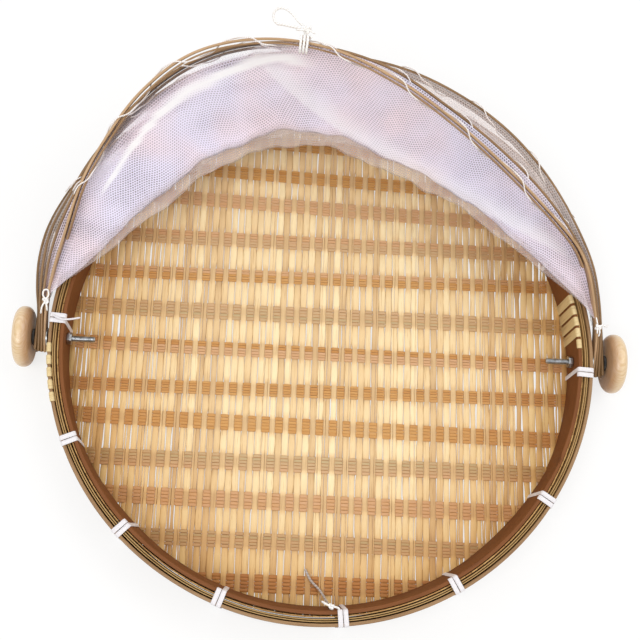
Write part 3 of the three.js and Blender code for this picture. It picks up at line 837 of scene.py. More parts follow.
@dataclass(frozen=True)
class StringFinish:
    """White spun string: twisted strands with a little fluff.

    Args:
        name: the material's name.
        white: the web colour of the strand.
        shade: the web colour between the strands.
        twist: strands to a metre of string.
        flat: whether the string is a flat band, with its fibres lengthwise.
    """

    name: str
    white: str
    shade: str
    twist: float = 900
    flat: bool = False

    def strands(self, n: NodeBoard) -> bpy.types.NodeSocket:
        """The strands' pattern.

        Args:
            n: the material's board.

        Returns:
            The pattern's output, 0 between the strands and 1 on them.
        """
        if self.flat:
            return n.noise(n.uv(), (20, 2600, 1))
        settings = {"wave_type": "BANDS", "bands_direction": "DIAGONAL"}
        turned = n.stretched(n.uv(), (self.twist, 500, 1))
        return n.add("TexWave", settings, Vector=turned, Scale=0.35, Distortion=0.6).outputs["Fac"]

    def material(self) -> bpy.types.Material:
        """Build the material.

        Returns:
            The material.
        """
        n = NodeBoard(self.name)
        strands = self.strands(n)
        share = n.maths("MULTIPLY_ADD", n.noise(n.place(), 2500, 2), 0.3, strands)
        n.surface(
            Base_Color=n.ramp(share, (0.1, self.shade), (0.65, self.white)),
            Roughness=0.8,
            Sheen_Weight=0.25,
            Sheen_Roughness=0.5,
        )
        n.bumped(strands, 0.25, 0.0002)
        return n.material


@dataclass(frozen=True)
class NetFinish:
    """Fine white gauze: knitted threads round small holes in offset rows.

    The number "open", stored on the cloth, thins it where it is stretched, and "white" thickens
    it where it lies double. Below zero "white" deepens the painted shade in the holes.

    Args:
        name: the material's name.
        thread: the web colour of the threads.
        blush: the web colour of their pinker patches.
        hole: the web colour of the painted shade that the holes show of the layers below.
        pitch: from one hole to the next.
        cover: the share of the threads that hides what is behind them.
        depth: how strong the painted shade in the holes is.
    """

    name: str = "outer_gauze"
    thread: str = "f3eeff"
    blush: str = "faebf4"
    hole: str = "5f566a"
    pitch: float = 1.7
    cover: float = 0.86
    depth: float = 0.54

    def holes(self, n: NodeBoard) -> bpy.types.NodeSocket:
        """The holes' pattern.

        Args:
            n: the material's board.

        Returns:
            The pattern's output, 1 in the middle of a hole and 0 on the threads.
        """
        scale = 1 / (self.pitch * MM)
        uv = n.add("SeparateXYZ", Vector=n.stretched(n.uv(), (scale, scale * 1.15, 1)))
        row = n.maths("FLOOR", uv.outputs["Y"])
        along = n.maths("FRACT", n.maths("MULTIPLY_ADD", row, 0.5, uv.outputs["X"]))
        x = n.maths("SUBTRACT", along, 0.5)
        y = n.maths("SUBTRACT", n.maths("FRACT", uv.outputs["Y"]), 0.5)
        square = n.maths("ADD", n.maths("MULTIPLY", x, x), n.maths("MULTIPLY", y, y))
        return n.ranged(square, 0.16, 0.05)

    def material(self) -> bpy.types.Material:
        """Build the material.

        Returns:
            The material.
        """
        n = NodeBoard(self.name, blended=True)
        hole, place, white = self.holes(n), n.place(), n.stored("white")
        # Painted shade in the holes, for the shadowed layers below: deeper in patches and where "white" is
        # below zero.
        patch = n.ramp(n.noise(place, 38), (0.4, (0, 0, 0)), (0.6, WHITE))
        wear = n.ramp(n.noise(place, 16, 2), (0.4, (0, 0, 0)), (0.58, WHITE))
        deep = n.maths("MULTIPLY_ADD", patch, 0.75 * self.depth, 0.25 * self.depth)
        dark = n.maths("MULTIPLY", hole, deep)
        dark = n.maths("MULTIPLY", dark, n.maths("MULTIPLY_ADD", white, -1.0, 1.0))
        thread = n.blend(wear, tint(self.thread), tint(self.blush))
        colour = n.blend(n.maths("MINIMUM", dark, 1.0), thread, tint(self.hole))
        doubled = n.maths("MAXIMUM", white, 0.0)
        colour = n.blend(doubled, colour, WHITE)
        thick = n.maths("MULTIPLY_ADD", hole, -0.45 * self.cover, self.cover)
        hidden = n.maths("MULTIPLY", thick, n.maths("MULTIPLY_ADD", n.stored("open"), -0.9, 1.0))
        hidden = n.maths("MULTIPLY_ADD", doubled, n.maths("SUBTRACT", 1.0, hidden), hidden)
        n.surface(Base_Color=colour, Roughness=0.9, Sheen_Weight=0.3, Sheen_Roughness=0.6)
        cloth = n.shaded(0.15, n.shader, n.add("BsdfTranslucent", Color=colour))
        n.shaded(hidden, n.add("BsdfTransparent"), cloth)
        return n.material


# Camera and room


@dataclass(frozen=True)
class Studio:
    """The camera of the photograph, a pale floor and soft lamps.

    Args:
        tilt: degrees from straight above.
        azimuth: degrees from the front, to the right.
        roll: degrees that the picture is turned.
        distance: from the tray's middle in metres.
        focal: focal length in pixels of a picture 640 wide.
        offset: how far the tray's middle lies from the picture's, in pixels, right and down.
        frame_width: the width of that picture.
        sensor_width: the camera's sensor in millimetres.
        lamps: for each lamp its place and the side of its square in metres, and its watts.
        room_light: the strength of the light from all sides.
        floor_glow: how much of its own light the floor shows to the camera.
    """

    tilt: float = 14.796
    azimuth: float = -13.333
    roll: float = 15.579
    distance: float = 0.70886
    focal: float = 1061.29
    offset: tuple[float, float] = (1.465, 36.854)
    frame_width: int = 640
    sensor_width: float = 36.0
    lamps: tuple[tuple[str, tuple[float, float, float], float, float], ...] = (
        ("key_lamp", (-0.5, -0.55, 1.5), 1.0, 13),
        ("fill_lamp", (0.9, 0.2, 1.2), 1.2, 7),
        ("back_lamp", (-0.1, 1.2, 1.1), 1.2, 5),
    )
    room_light: float = 0.55
    floor_glow: float = 0.72

    def placed(self, name: str, data: bpy.types.ID) -> bpy.types.Object:
        """Put a camera or a lamp into the scene.

        Args:
            name: its name.
            data: the camera or the lamp.

        Returns:
            The object.
        """
        piece = bpy.data.objects.new(name, data)
        bpy.context.scene.collection.objects.link(piece)
        return piece

    def camera(self) -> None:
        """Add the camera."""
        tilt, azimuth, roll = (math.radians(a) for a in (self.tilt, self.azimuth, self.roll))
        back = Vector((
            math.sin(azimuth) * math.sin(tilt), -math.cos(azimuth) * math.sin(tilt), math.cos(tilt),
        ))
        right = UP.cross(back).normalized()
        up = back.cross(right)
        turned_right = right * math.cos(roll) + up * math.sin(roll)
        turned_up = up * math.cos(roll) - right * math.sin(roll)
        data = bpy.data.cameras.new("camera")
        data.sensor_width = self.sensor_width
        data.lens = self.sensor_width * self.focal / self.frame_width
        data.shift_x = -self.offset[0] / self.frame_width
        data.shift_y = self.offset[1] / self.frame_width
        data.clip_start = 0.01
        camera = self.placed("camera", data)
        axes = Matrix((turned_right, turned_up, back)).transposed().to_4x4()
        camera.matrix_world = Matrix.Translation(back * self.distance) @ axes
        bpy.context.scene.camera = camera

    def lamp(self, name: str, place: Sequence[float], size: float, watts: float) -> None:
        """Add a soft square lamp that looks at the tray.

        Args:
            name: the lamp's name.
            place: where it hangs, in metres.
            size: the side of the square in metres.
            watts: its power.
        """
        data = bpy.data.lights.new(name, "AREA")
        data.shape = "SQUARE"
        data.size = size
        data.energy = watts
        lamp = self.placed(name, data)
        lamp.location = place
        lamp.rotation_euler = (-Vector(place)).to_track_quat("-Z", "Y").to_euler()

    def floor(self) -> None:
        """Add a white floor that keeps the shadow and shows white to the camera."""
        select_only()
        bpy.ops.mesh.primitive_plane_add(size=12, location=(0, 0, -0.4 * MM))
        floor = named("floor")
        n = NodeBoard("paper_floor")
        n.surface(Base_Color=tint("f4f3f1"), Roughness=0.9)
        path = n.add("LightPath")
        seen = n.maths("MAXIMUM", path.outputs["Is Camera Ray"], path.outputs["Is Transmission Ray"])
        shine = n.add("Emission", Color=WHITE, Strength=1.0)
        n.shaded(n.maths("MULTIPLY", seen, self.floor_glow), n.shader, shine)
        floor.data.materials.append(n.material)

    def build(self) -> None:
        """Set up the room."""
        self.camera()
        self.floor()
        for lamp in self.lamps:
            self.lamp(*lamp)
        scene = bpy.context.scene
        scene.view_settings.view_transform = "Standard"
        scene.world = bpy.data.worlds.new("soft_room")
        scene.world.use_nodes = True
        background = scene.world.node_tree.nodes["Background"]
        background.inputs["Color"].default_value = WHITE
        background.inputs["Strength"].default_value = self.room_light


# Shapes of the cover

REST_ANGLES = (0.0, 15.0, 22.5, 30.0)
HOOP_NAMES = ("rear_hoop", "second_hoop", "third_hoop", "front_hoop")
HOOP_BODIES = (Body.TRAY, Body.SECOND, Body.THIRD, Body.FRONT)
HALF_WIDTHS = (184.35, 182.55, 180.75, 178.95)
FRONT_HOOP = 3

REAR_SHARES = (
    (1, 0), (1, 0.12), (0.992, 0.235), (0.974, 0.33), (0.92, 0.474), (0.828, 0.628), (0.69, 0.77),
    (0.5, 0.897), (0.27, 0.975), (0, 1), (-0.27, 0.982), (-0.5, 0.912), (-0.7, 0.79), (-0.85, 0.647),
    (-0.946, 0.5), (-0.997, 0.38), (-1.016, 0.27), (-1.013, 0.17), (-1, 0.08), (-1, 0),
)
SECOND_SHARES = (
    (1, 0), (0.998, 0.12), (0.982, 0.24), (0.955, 0.34), (0.885, 0.475), (0.78, 0.625), (0.64, 0.765),
    (0.46, 0.88), (0.24, 0.965), (-0.02, 1), (-0.29, 0.978), (-0.52, 0.895), (-0.71, 0.76),
    (-0.84, 0.61), (-0.922, 0.465), (-0.973, 0.36), (-0.996, 0.25), (-1.002, 0.15), (-1, 0.07), (-1, 0),
)
THIRD_SHARES = (
    (1, 0), (0.994, 0.12), (0.97, 0.24), (0.94, 0.325), (0.874, 0.43), (0.76, 0.56), (0.59, 0.7),
    (0.39, 0.83), (0.17, 0.945), (-0.09, 1), (-0.34, 0.985), (-0.54, 0.905), (-0.71, 0.765),
    (-0.822, 0.62), (-0.895, 0.485), (-0.943, 0.38), (-0.975, 0.28), (-0.994, 0.17), (-1, 0.08), (-1, 0),
)
FRONT_SHARES = (
    (1, 0), (0.993, 0.118), (0.974, 0.2), (0.954, 0.27), (0.931, 0.33), (0.89, 0.397), (0.81, 0.476),
    (0.61, 0.64), (0.42, 0.775), (0.2, 0.9), (-0.04, 0.985), (-0.28, 1), (-0.5, 0.945), (-0.67, 0.82),
    (-0.8, 0.65), (-0.872, 0.52), (-0.935, 0.335), (-0.967, 0.235), (-0.993, 0.118), (-1, 0),
)
HOOP_SHARES = (REAR_SHARES, SECOND_SHARES, THIRD_SHARES, FRONT_SHARES)

STRIP_WIDTH = 8.0
STRIP_THICKNESS = 1.5
COVER_WIDTH = 6.0
COVER_THICKNESS = 1.0
COVER_INSET = 2.35
COVER_START = 3 / 26
HEM_INSET = 1.3


class HoopLine(Bend):
    """The middle line of a hoop's main strip, in the hoop's own plane."""

    def out(self, share: float) -> Vector:
        """The direction away from the tray's middle."""
        along = self.along(share)
        return Vector((along.y, -along.x, 0)).normalized()

    def beside(self, share: float, away: float, across: float) -> Vector:
        """The place so far out from the strip's middle and across its width."""
        return self.at(share) + self.out(share) * away + UP * across


def hoop_line(index: int) -> HoopLine:
    """The middle line of the hoop of that number, from 0 for the rear one."""
    return HoopLine([(x * HALF_WIDTHS[index], y * HALF_HOOP_DEPTH, 0) for x, y in HOOP_SHARES[index]])


def risen(index: int, place: Vector) -> Vector:
    """A place of a hoop's plane, with the hoop at its rest angle."""
    turned = Matrix.Rotation(math.radians(REST_ANGLES[index]), 3, "X") @ place
    return turned + UP * PIVOT_HEIGHT


def wound_line(
    index: int,
    turns: int,
    shares: tuple[float, float],
    play: float,
    diameter: float,
) -> tuple[Bend, int]:
    """The line of a string that is wound round both strips of a hoop.

    Args:
        index: the hoop's number.
        turns: how often it goes round.
        shares: the shares of the hoop's length where it starts and ends.
        play: how far it stands off the strips.
        diameter: its thickness, which also cuts the corners of each turn.

    Returns:
        The line, and the number of its places.
    """
    line = hoop_line(index)
    outer = STRIP_THICKNESS / 2 + play + diameter / 2
    inner = -COVER_INSET - COVER_THICKNESS / 2 - play - diameter / 2
    side = STRIP_WIDTH / 2 + play + diameter / 2
    outline = [
        (outer, side - diameter), (outer, -side + diameter), (outer - diameter, -side),
        (inner + diameter, -side), (inner, -side + diameter), (inner, side - diameter),
        (inner + diameter, side), (outer - diameter, side),
    ]
    count = turns * len(outline)
    places = [
        risen(index, line.beside(mix(*shares, i / count), *outline[i % len(outline)]))
        for i in range(count + 1)
    ]
    return Bend(places, 8), count


# The tray

RIM_LAYERS = {
    "rim_inner_hoop": (*INNER_HOOP_RADII, 3.5, RIM_HEIGHT),
    "rim_filler_inner": (170.1, 170.9, 20.0, 29.0),
    "rim_filler_outer": (171.4, 172.1, 20.0, 29.0),
    "rim_outer_hoop": (*OUTER_HOOP_RADII, 1.2, RIM_HEIGHT),
}


def strands_mesh(name: str, strands: list) -> bpy.types.Object:
    """Join many thin strands into one piece.

    Args:
        name: the piece's name.
        strands: for each strand its rings of places, its shades ring by ring (one, or one for
            each corner), and its start along the grain.

    Returns:
        The object, with a UV map along and across each strand and a shade for each place.
    """
    places, faces, tones, uvs = [], [], [], []
    for rings, shades, start in strands:
        base, sides = len(places), len(rings[0])
        run = start
        for i, ring in enumerate(rings):
            if i:
                run += (ring[0] - rings[i - 1][0]).length * MM
            places.extend(p * MM for p in ring)
            tones.extend(shades[i] if isinstance(shades[i], list) else [shades[i]] * sides)
            uvs.extend([(run, j / sides * 9 * MM + start) for j in range(sides)])
        for i in range(len(rings) - 1):
            for j in range(sides):
                a, b = base + i * sides + j, base + i * sides + (j + 1) % sides
                faces.append((a, b, b + sides, a + sides))
        last = base + (len(rings) - 1) * sides
        faces.append(tuple(base + j for j in reversed(range(sides))))
        faces.append(tuple(last + j for j in range(sides)))
    mesh = bpy.data.meshes.new(name)
    mesh.from_pydata([tuple(p) for p in places], [], faces)
    piece = bpy.data.objects.new(name, mesh)
    bpy.context.scene.collection.objects.link(piece)
    store(piece, "tone", tones)
    spread_uv(mesh, np.array(uvs))
    select_only(piece)
    with editing():
        bpy.ops.mesh.normals_make_consistent(inside=False)
    smooth_by_angle(piece, 50)
    return piece


def band(centre: Vector, half: Vector, thick: Vector, share: float = 0.82) -> list[Vector]:
    """The section of a flat band with thin edges.

    Args:
        centre: its middle.
        half: half of its width, as a vector across it.
        thick: half of its thickness, as a vector through it.
        share: how much of its width is flat.

    Returns:
        The six corners.
    """
    flat = half * share
    return [
        centre + half, centre + flat + thick, centre - flat + thick,
        centre - half, centre - flat - thick, centre + flat - thick,
    ]


@dataclass
class WovenMat:
    """The tray's plain weave: pale splints from front to back over and under darker bundles.

    Args:
        rows: where the bundles cross, from the middle.
        row_falls: how far each bundle drifts forward for each millimetre to the right.
        row_widths: each bundle's width against the usual one.
        row_shades: the shade of each bundle's back and front part, from brown to grey.
        soft_rows: the bundles with only faint painted shade lines between their splints.
        reach: how far the splints run from the middle, to under the rim.
        middle: the height of the mat's middle.
        loose_from: beyond this distance from the middle the weave is looser.
        splint_thickness: the splints' thickness.
        splint_rise: how far a splint is pushed up over a bundle and down under it.
        splint_pitch: from one splint to the next.
        splint_shades: the shades to draw from; neighbours never share one.
        split_shares: the shares at which a splint may be split in two.
        bundle_splints: fine splints in a bundle.
        bundle_pitch: from one of them to the next.
        bundle_thickness: their thickness.
        bundle_rise: how far a bundle is pushed down under a splint and up over it.
        edge_count: splint ends round the turned-up edge.
        edge_top: the height of the highest of them.
        chance: the source of all unevenness.
        crossings: where the splints lie, once they are made.
    """

    rows: tuple[float, ...] = (
        151.0, 126.8, 105.2, 79.3, 54.3, 27.8, 1.8, -24.2, -48.1, -73.0, -98.1, -123.4, -149.7,
    )
    row_falls: tuple[float, ...] = (
        0.03, 0.03, 0.03, 0.0, -0.012, 0.0, 0.006, -0.008, 0.014, 0.002, 0.012, 0.01, 0.004,
    )
    row_widths: tuple[float, ...] = (
        1.0, 0.97, 1.06, 1.05, 0.93, 1.16, 0.98, 0.93, 1.1, 1.13, 1.16, 1.06, 1.2,
    )
    row_shades: tuple[tuple[float, float], ...] = (
        (0.5, 0.5), (0.42, 0.46), (0.74, 0.74), (0.7, 0.8), (0.66, 0.44), (0.86, 0.9), (0.42, 0.72),
        (0.4, 0.46), (0.42, 0.44), (0.94, 0.84), (0.68, 0.7), (0.9, 0.86), (0.3, 0.34),
    )
    soft_rows: tuple[int, ...] = (2, 8, 10)
    reach: float = 168.5
    middle: float = 1.0
    loose_from: float = 92.0
    splint_thickness: float = 0.6
    splint_rise: float = 0.58
    splint_pitch: float = 4.43
    splint_shades: tuple[float, ...] = (0.3, 0.5, 0.7, 0.85, 1.0)
    split_shares: tuple[float, ...] = (0.3, 0.38, 0.6, 0.7)
    bundle_splints: int = 5
    bundle_pitch: float = 1.9
    bundle_thickness: float = 0.46
    bundle_rise: float = 0.3
    edge_count: int = 236
    edge_top: float = 27.4
    chance: random.Random = field(default_factory=lambda: random.Random(11))
    crossings: list = field(default_factory=list)

    def lift(self, x: float, y: float) -> float:
        """How much the mat rises off the table, to pass over the rim's ties."""
        return 1.2 * smooth((math.hypot(x, y) - 158.0) / 4.0)

    def side(self, splint: int, row: int) -> int:
        """Whether a splint passes over a bundle, 1, or under it, -1."""
        return 1 if (splint + row) % 2 == 0 else -1

    def rows_at(self, x: float) -> list[float]:
        """Where the bundles lie at a place across the mat."""
        return [row - fall * x for row, fall in zip(self.rows, self.row_falls)]

    def height_of(self, splint: int, rows: list[float], y: float) -> float:
        """How far a splint is pushed up or down at a place along it.

        Args:
            splint: the splint's number.
            rows: where the bundles lie there.
            y: the place along the splint.

        Returns:
            The share of the splint's rise, from -1 under a bundle to 1 over it.
        """
        held = self.bundle_splints * self.bundle_pitch / 2 * 0.8
        for j, row in enumerate(rows):
            if abs(y - row) <= held:
                return self.side(splint, j)
        above = [j for j, row in enumerate(rows) if row > y]
        low = above[-1] if above else 0
        high = min(low + 1, len(rows) - 1) if above else 0
        if low == high:
            return 0.0 if abs(y) > abs(rows[low]) + 10 else self.side(splint, low)
        share = smooth((rows[low] - held - y) / (rows[low] - rows[high] - 2 * held))
        return mix(self.side(splint, low), self.side(splint, high), share)

    def splints(self) -> bpy.types.Object:
        """Model the pale splints, some of them split in two.

        Returns:
            The piece.
        """
        strands = []
        chance, pitch = self.chance, self.splint_pitch
        count = int(2 * (self.reach - 1.5) / pitch)
        shade = 0.6
        for index in range(count):
            x = (index - (count - 1) / 2) * pitch + chance.uniform(-0.12, 0.12)
            self.crossings.append(x)
            shade = chance.choice([s for s in self.splint_shades if abs(s - shade) > 0.1])
            if chance.random() > (0.5 if abs(x) > self.loose_from else 0.3):
                strands.append(self.splint(index, x, x, pitch - 0.1, shade))
                continue
            split = chance.choice(self.split_shares)
            for part, share in ((-1, split), (1, 1 - split)):
                middle = x + part * pitch * (1 - share) / 2
                strands.append(self.splint(index, middle, x, pitch * share - 0.08, shade))
        return strands_mesh("mat_splints", strands)

    def splint(self, index: int, place: float, axis: float, width: float, shade: float) -> tuple:
        """One strip of a splint, drawn in where it passes over a bundle.

        Args:
            index: the splint that it belongs to.
            place: the strip's middle.
            axis: the splint's middle.
            width: the strip's width.
            shade: the splint's own shade.

        Returns:
            Its rings, shades and start along the grain.
        """
        chance = self.chance
        end = math.sqrt(self.reach**2 - min(abs(place), self.reach - 2) ** 2)
        shade += chance.uniform(-0.08, 0.08)
        layer = chance.uniform(-0.03, 0.03)
        gaps = len(self.rows) + 1
        often, widest = (0.3, 0.34) if abs(place) > self.loose_from else (0.07, 0.2)
        slits = [chance.uniform(0.06, widest) if chance.random() < often else 0.0 for _ in range(gaps)]
        drift = [chance.uniform(-0.15, 0.15) for _ in range(gaps)]
        # How much painted shade darkens each edge of the strip, for the shadow lines between splints.
        painted_edge_shades = [chance.uniform(0.25, 0.75) for _ in range(2)]
        rows = self.rows_at(axis)
        count = max(int(2 * end / 4.0), 4)
        rings, shades = [], []
        for i in range(count + 1):
            y = mix(-end, end, i / count)
            gap = sum(1 for row in rows if row > y)
            free = smooth((min(abs(y - row) for row in rows) - 4.6) / 2.6)
            over = self.height_of(index, rows, y)
            drawn = 1 - 0.16 * (1 - free) * max(over, 0)
            half = width * (1 - slits[gap] * free) * drawn / 2
            x = axis + (place - axis) * drawn + drift[gap] * free
            z = self.middle + self.splint_rise * over + layer + self.lift(x, y)
            rings.append(band(Vector((x, y, z)), Vector((half, 0, 0)), UP * self.splint_thickness / 2))
            # Near a bundle the tone is lower: duller where the splint lies over it, and painted shade where
            # it dips under it.
            tone = mix(shade, 0.1, (0.85 if over > 0 else 0.5) * (1 - free)) - 0.12 * smooth(-over)
            # Both edges darker than the middle: painted shade between neighbouring splints.
            high, low = (tone - dark for dark in reversed(painted_edge_shades))
            shades.append([high, tone, tone, low, tone, tone])
        return rings, shades, chance.uniform(0, 3)

    def bundles(self) -> bpy.types.Object:
        """Model the darker cross bundles of fine splints, with painted shade lines between them.

        Returns:
            The piece.
        """
        strands = []
        for j, middle in enumerate(self.rows):
            pitch = self.bundle_pitch * self.row_widths[j]
            for k in range(self.bundle_splints):
                start = middle + (k - (self.bundle_splints - 1) / 2) * pitch
                if abs(start) <= self.reach - 4:
                    strands.append(self.bundle_splint(j, k, start, pitch))
        return strands_mesh("mat_bundles", strands)

    def bundle_splint(self, row: int, k: int, start: float, pitch: float) -> tuple:
        """One fine splint of a bundle.

        Args:
            row: the bundle's number.
            k: the splint's number in its bundle, from the front.
            start: where it crosses the mat's middle.
            pitch: from one splint of the bundle to the next.

        Returns:
            Its rings, shades and start along the grain.
        """
        chance = self.chance
        end = math.sqrt(self.reach**2 - (abs(start) + 1) ** 2)
        back, front = self.row_shades[row]
        shade = (back if k > self.bundle_splints / 2 else front) + chance.uniform(-0.06, 0.06)
        # The tone of the splint's edges: painted shade lines between the fine splints, fainter in the soft
        # rows.
        line = chance.uniform(0.0, 0.25) + (0.3 if row in self.soft_rows else 0.0)
        stops = [(x, self.side(i, row)) for i, x in enumerate(self.crossings) if abs(x) < end]
        middles = [(a + b) / 2 for a, b in zip(self.crossings, self.crossings[1:])]
        stops += [(x, 0) for x in middles if abs(x) < end]
        stops = [(-end, 0), *sorted(stops), (end, 0)]
        wander = chance.uniform(-0.1, 0.1)
        half = Vector((0, pitch * chance.uniform(0.93, 0.99) / 2, 0))
        rings = []
        for x, over in stops:
            y = start - self.row_falls[row] * x + wander * math.sin(x / 37 + k)
            z = self.middle - self.bundle_rise * over + self.lift(x, y)
            rings.append(band(Vector((x, y, z)), half, UP * self.bundle_thickness / 2))
        return rings, [[line, shade, shade] * 2] * len(rings), chance.uniform(0, 3)

    def edge(self) -> bpy.types.Object:
        """Model the splints' ends, turned up inside the rim.

        Returns:
            The piece.
        """
        strands = []
        for i in range(self.edge_count):
            out = outward(2 * math.pi * i / self.edge_count)
            side = UP.cross(out)
            top = self.edge_top - self.chance.uniform(0, 0.6)
            half = side * self.chance.uniform(4.1, 4.5) / 2
            path = [(166.4, 2.1, 90), (168.3, 2.2, 90), (168.9, 3.2, 45), (168.9, top, 0)]
            rings = []
            for radius, z, tilt in path:
                turn = math.radians(tilt)
                thick = (out * math.cos(turn) - UP * math.sin(turn)) * 0.4
                centre = out * radius + UP * z
                corners = ((1, 1), (-1, 1), (-1, -1), (1, -1))
                rings.append([centre + half * a + thick * b for a, b in corners])
            shade = self.chance.uniform(0.1, 0.8)
            strands.append((rings, [shade] * 4, self.chance.uniform(0, 3)))
        return strands_mesh("mat_turned_edge", strands)

    def build(self) -> None:
        """Make and seat the three pieces of the mat."""
        splint = BambooFinish("pale_splint", "f6dfb0", "e8c793", "c8a273", 2600, 0.55, grain=0.3, rim_shade=True)
        bundle = BundleFinish().material()
        pale = splint.material()
        finished(self.splints(), Body.TRAY, Slot.SPLINT, pale, "woven_mat")
        finished(self.bundles(), Body.TRAY, Slot.SPLINT, bundle, "woven_mat")
        finished(self.edge(), Body.TRAY, Slot.SPLINT, pale, "woven_mat")


def wrapped(piece: bpy.types.Object) -> bpy.types.Object:
    """Give a ring about the upright line a UV map in metres, round it and across it.

    Args:
        piece: the ring.

    Returns:
        The same object.
    """
    mesh = piece.data
    layer = mesh.uv_layers.active or mesh.uv_layers.new(name="along")
    for face in mesh.polygons:
        middle = math.atan2(face.center.y, face.center.x)
        for corner in face.loop_indices:
            p = mesh.vertices[mesh.loops[corner].vertex_index].co
            turn = math.atan2(p.y, p.x)
            turn += 2 * math.pi * round((middle - turn) / (2 * math.pi))
            layer.data[corner].uv = (turn * TRAY_RADIUS * MM, p.z + math.hypot(p.x, p.y))
    return piece


@dataclass
class Rim:
    """The rim's four bent strips.

    Args:
        steps: steps round the ring.
        edge: how far the strips' edges are rounded.
        splice: where the inner hoop's ends overlap, in degrees.
        splice_step: how far the inner hoop steps there.
        splice_run: the degrees over which the step fades.
        foot: the radii and heights of the dark ring of painted shade under the strips' gaps.
        lean: how far the inner hoop's foot leans in along the front.
    """

    steps: int = 240
    edge: float = 0.35
    splice: float = 327.0
    splice_step: float = 0.55
    splice_run: float = 9.0
    foot: tuple[float, float, float, float] = (169.5, 172.95, 1.5, 3.0)
    lean: ClassVar[float] = 3.2

    @classmethod
    def leaning(cls, angle: float, height: float) -> float:
        """How far the inner hoop leans in at an angle in degrees and a height."""
        front = smooth((-math.sin(math.radians(angle)) - 0.35) / 0.4)
        return cls.lean * front * min(max((RIM_HEIGHT - height) / 26.5, 0), 1)

    def strip(self, name: str) -> bpy.types.Object:
        """Spin one strip, and shave and bend it a little out of true.

        Args:
            name: the strip's name in the frame.

        Returns:
            The piece.
        """
        low, high, bottom, top = RIM_LAYERS[name]
        edge = min(self.edge, (high - low) / 3)
        piece = spun(name + "_bent", rounded_box(low, high, bottom, top, edge), self.steps)
        for vertex in piece.data.vertices:
            x, y, z = vertex.co
            angle = math.degrees(math.atan2(y, x)) % 360
            radius = math.hypot(x, y)
            inside = radius < (low + high) / 2 * MM
            uneven = 0.12 * math.sin(math.radians(angle) * 5 + len(name))
            if "filler" in name:
                uneven *= 0.6
            elif name == "rim_inner_hoop":
                past = (angle - self.splice) % 360
                if inside and past < self.splice_run:
                    uneven += self.splice_step * smooth(past / self.splice_run)
                uneven -= self.leaning(angle, z / MM)
            elif inside:
                uneven = 0.0
            scale = (radius + uneven * MM) / radius
            vertex.co = (x * scale, y * scale, z)
        return wrapped(piece)

    def build(self) -> None:
        """Make and seat the strips."""
        inner = BambooFinish("inner_hoop_bamboo", "8e5726", "744217", "4c290a", 1300, 0.7).material()
        outer = BambooFinish("outer_hoop_bamboo", "b5926a", "8f6c45", "65452a", 1300, 0.5, 0.1).material()
        filler = BambooFinish("filler_bamboo", "cfae78", "a98652", "6b4c28", 1600, 0.6).material()
        finishes = {
            "rim_inner_hoop": (inner, Slot.RIM), "rim_outer_hoop": (outer, Slot.RIM),
            "rim_filler_inner": (filler, Slot.FILLER), "rim_filler_outer": (filler, Slot.FILLER),
        }
        for name, (material, slot) in finishes.items():
            finished(self.strip(name), Body.TRAY, slot, material, name, tone=0.5)
        # A ring of painted shade under the gaps between the strips, in the inner hoop's bamboo at its
        # darkest tone.
        foot = wrapped(spun("rim_gap_shade_ring", rounded_box(*self.foot, 0.3), self.steps))
        finished(foot, Body.TRAY, Slot.RIM, inner, "rim_outer_hoop", tone=0.1)


@dataclass
class RimBinding:
    """A flat band wound round the rim.

    Args:
        name: the frame's name for it.
        angle: where it crosses the rim, in degrees.
        turns: how often it goes round.
        width: the band's width.
        thickness: the band's thickness.
        pitch: from one turn to the next, at the rim's inside.
        radii: the inner and outer radius of what it binds.
    """

    name: str
    angle: float
    turns: int = 2
    width: float = 3.0
    thickness: float = 0.6
    pitch: float = 3.3
    radii: tuple[float, float] = (INNER_HOOP_RADII[0], TRAY_RADIUS)

    def outline(self) -> list[tuple[float, float, float]]:
        """One turn over the rim, from the top of its inside, and back under it.

        Returns:
            For each place its radius, its height and the direction outwards, in radians.
        """
        thick = self.thickness / 2
        inside, outside = self.radii[0] - thick - 0.02, self.radii[1] + thick + 0.05
        under, over = 0.9 - thick, RIM_HEIGHT + 0.3 + thick
        corner = min(1.5, (outside - inside) * 0.45)
        turned = [
            (inside + corner, over - corner, 180), (outside - corner, over - corner, 90),
            (outside - corner, under + corner, 0), (inside + corner, under + corner, -90),
        ]
        stops = []
        for x, z, start in turned:
            lean = Rim.leaning(self.angle, z) if x < INNER_HOOP_RADII[1] + 0.2 else 0
            for i in range(5):
                t = math.radians(mix(start, start - 90, i / 4))
                stops.append((x - lean + corner * math.cos(t), z + corner * math.sin(t), t))
        return stops

    def build(self, material: bpy.types.Material, slot: Slot) -> None:
        """Make and seat the band.

        Args:
            material: its material.
            slot: the record's finish.
        """
        outline = self.outline()
        stepping, last = 13, 14  # where it steps on to its next turn, and where its last turn ends
        rings = []
        for turn in range(self.turns):
            for i, (radius, height, t) in enumerate(outline):
                step = turn + (smooth((i - stepping) / 6) if i > stepping else 0.0)
                if turn == self.turns - 1 and i > last:
                    break
                past = (step - (self.turns - 1) / 2) * self.pitch / INNER_HOOP_RADII[0]
                out = outward(math.radians(self.angle) + past)
                side = UP.cross(out) * self.width / 2
                thick = (out * math.cos(t) + UP * math.sin(t)) * self.thickness / 2
                rings.append(band(out * radius + UP * height, side, thick, 0.8))
        piece = laid_grid(self.name + "_wound", rings, sharp=55)
        finished(piece, Body.TRAY, slot, material, self.name, tone=0.5)


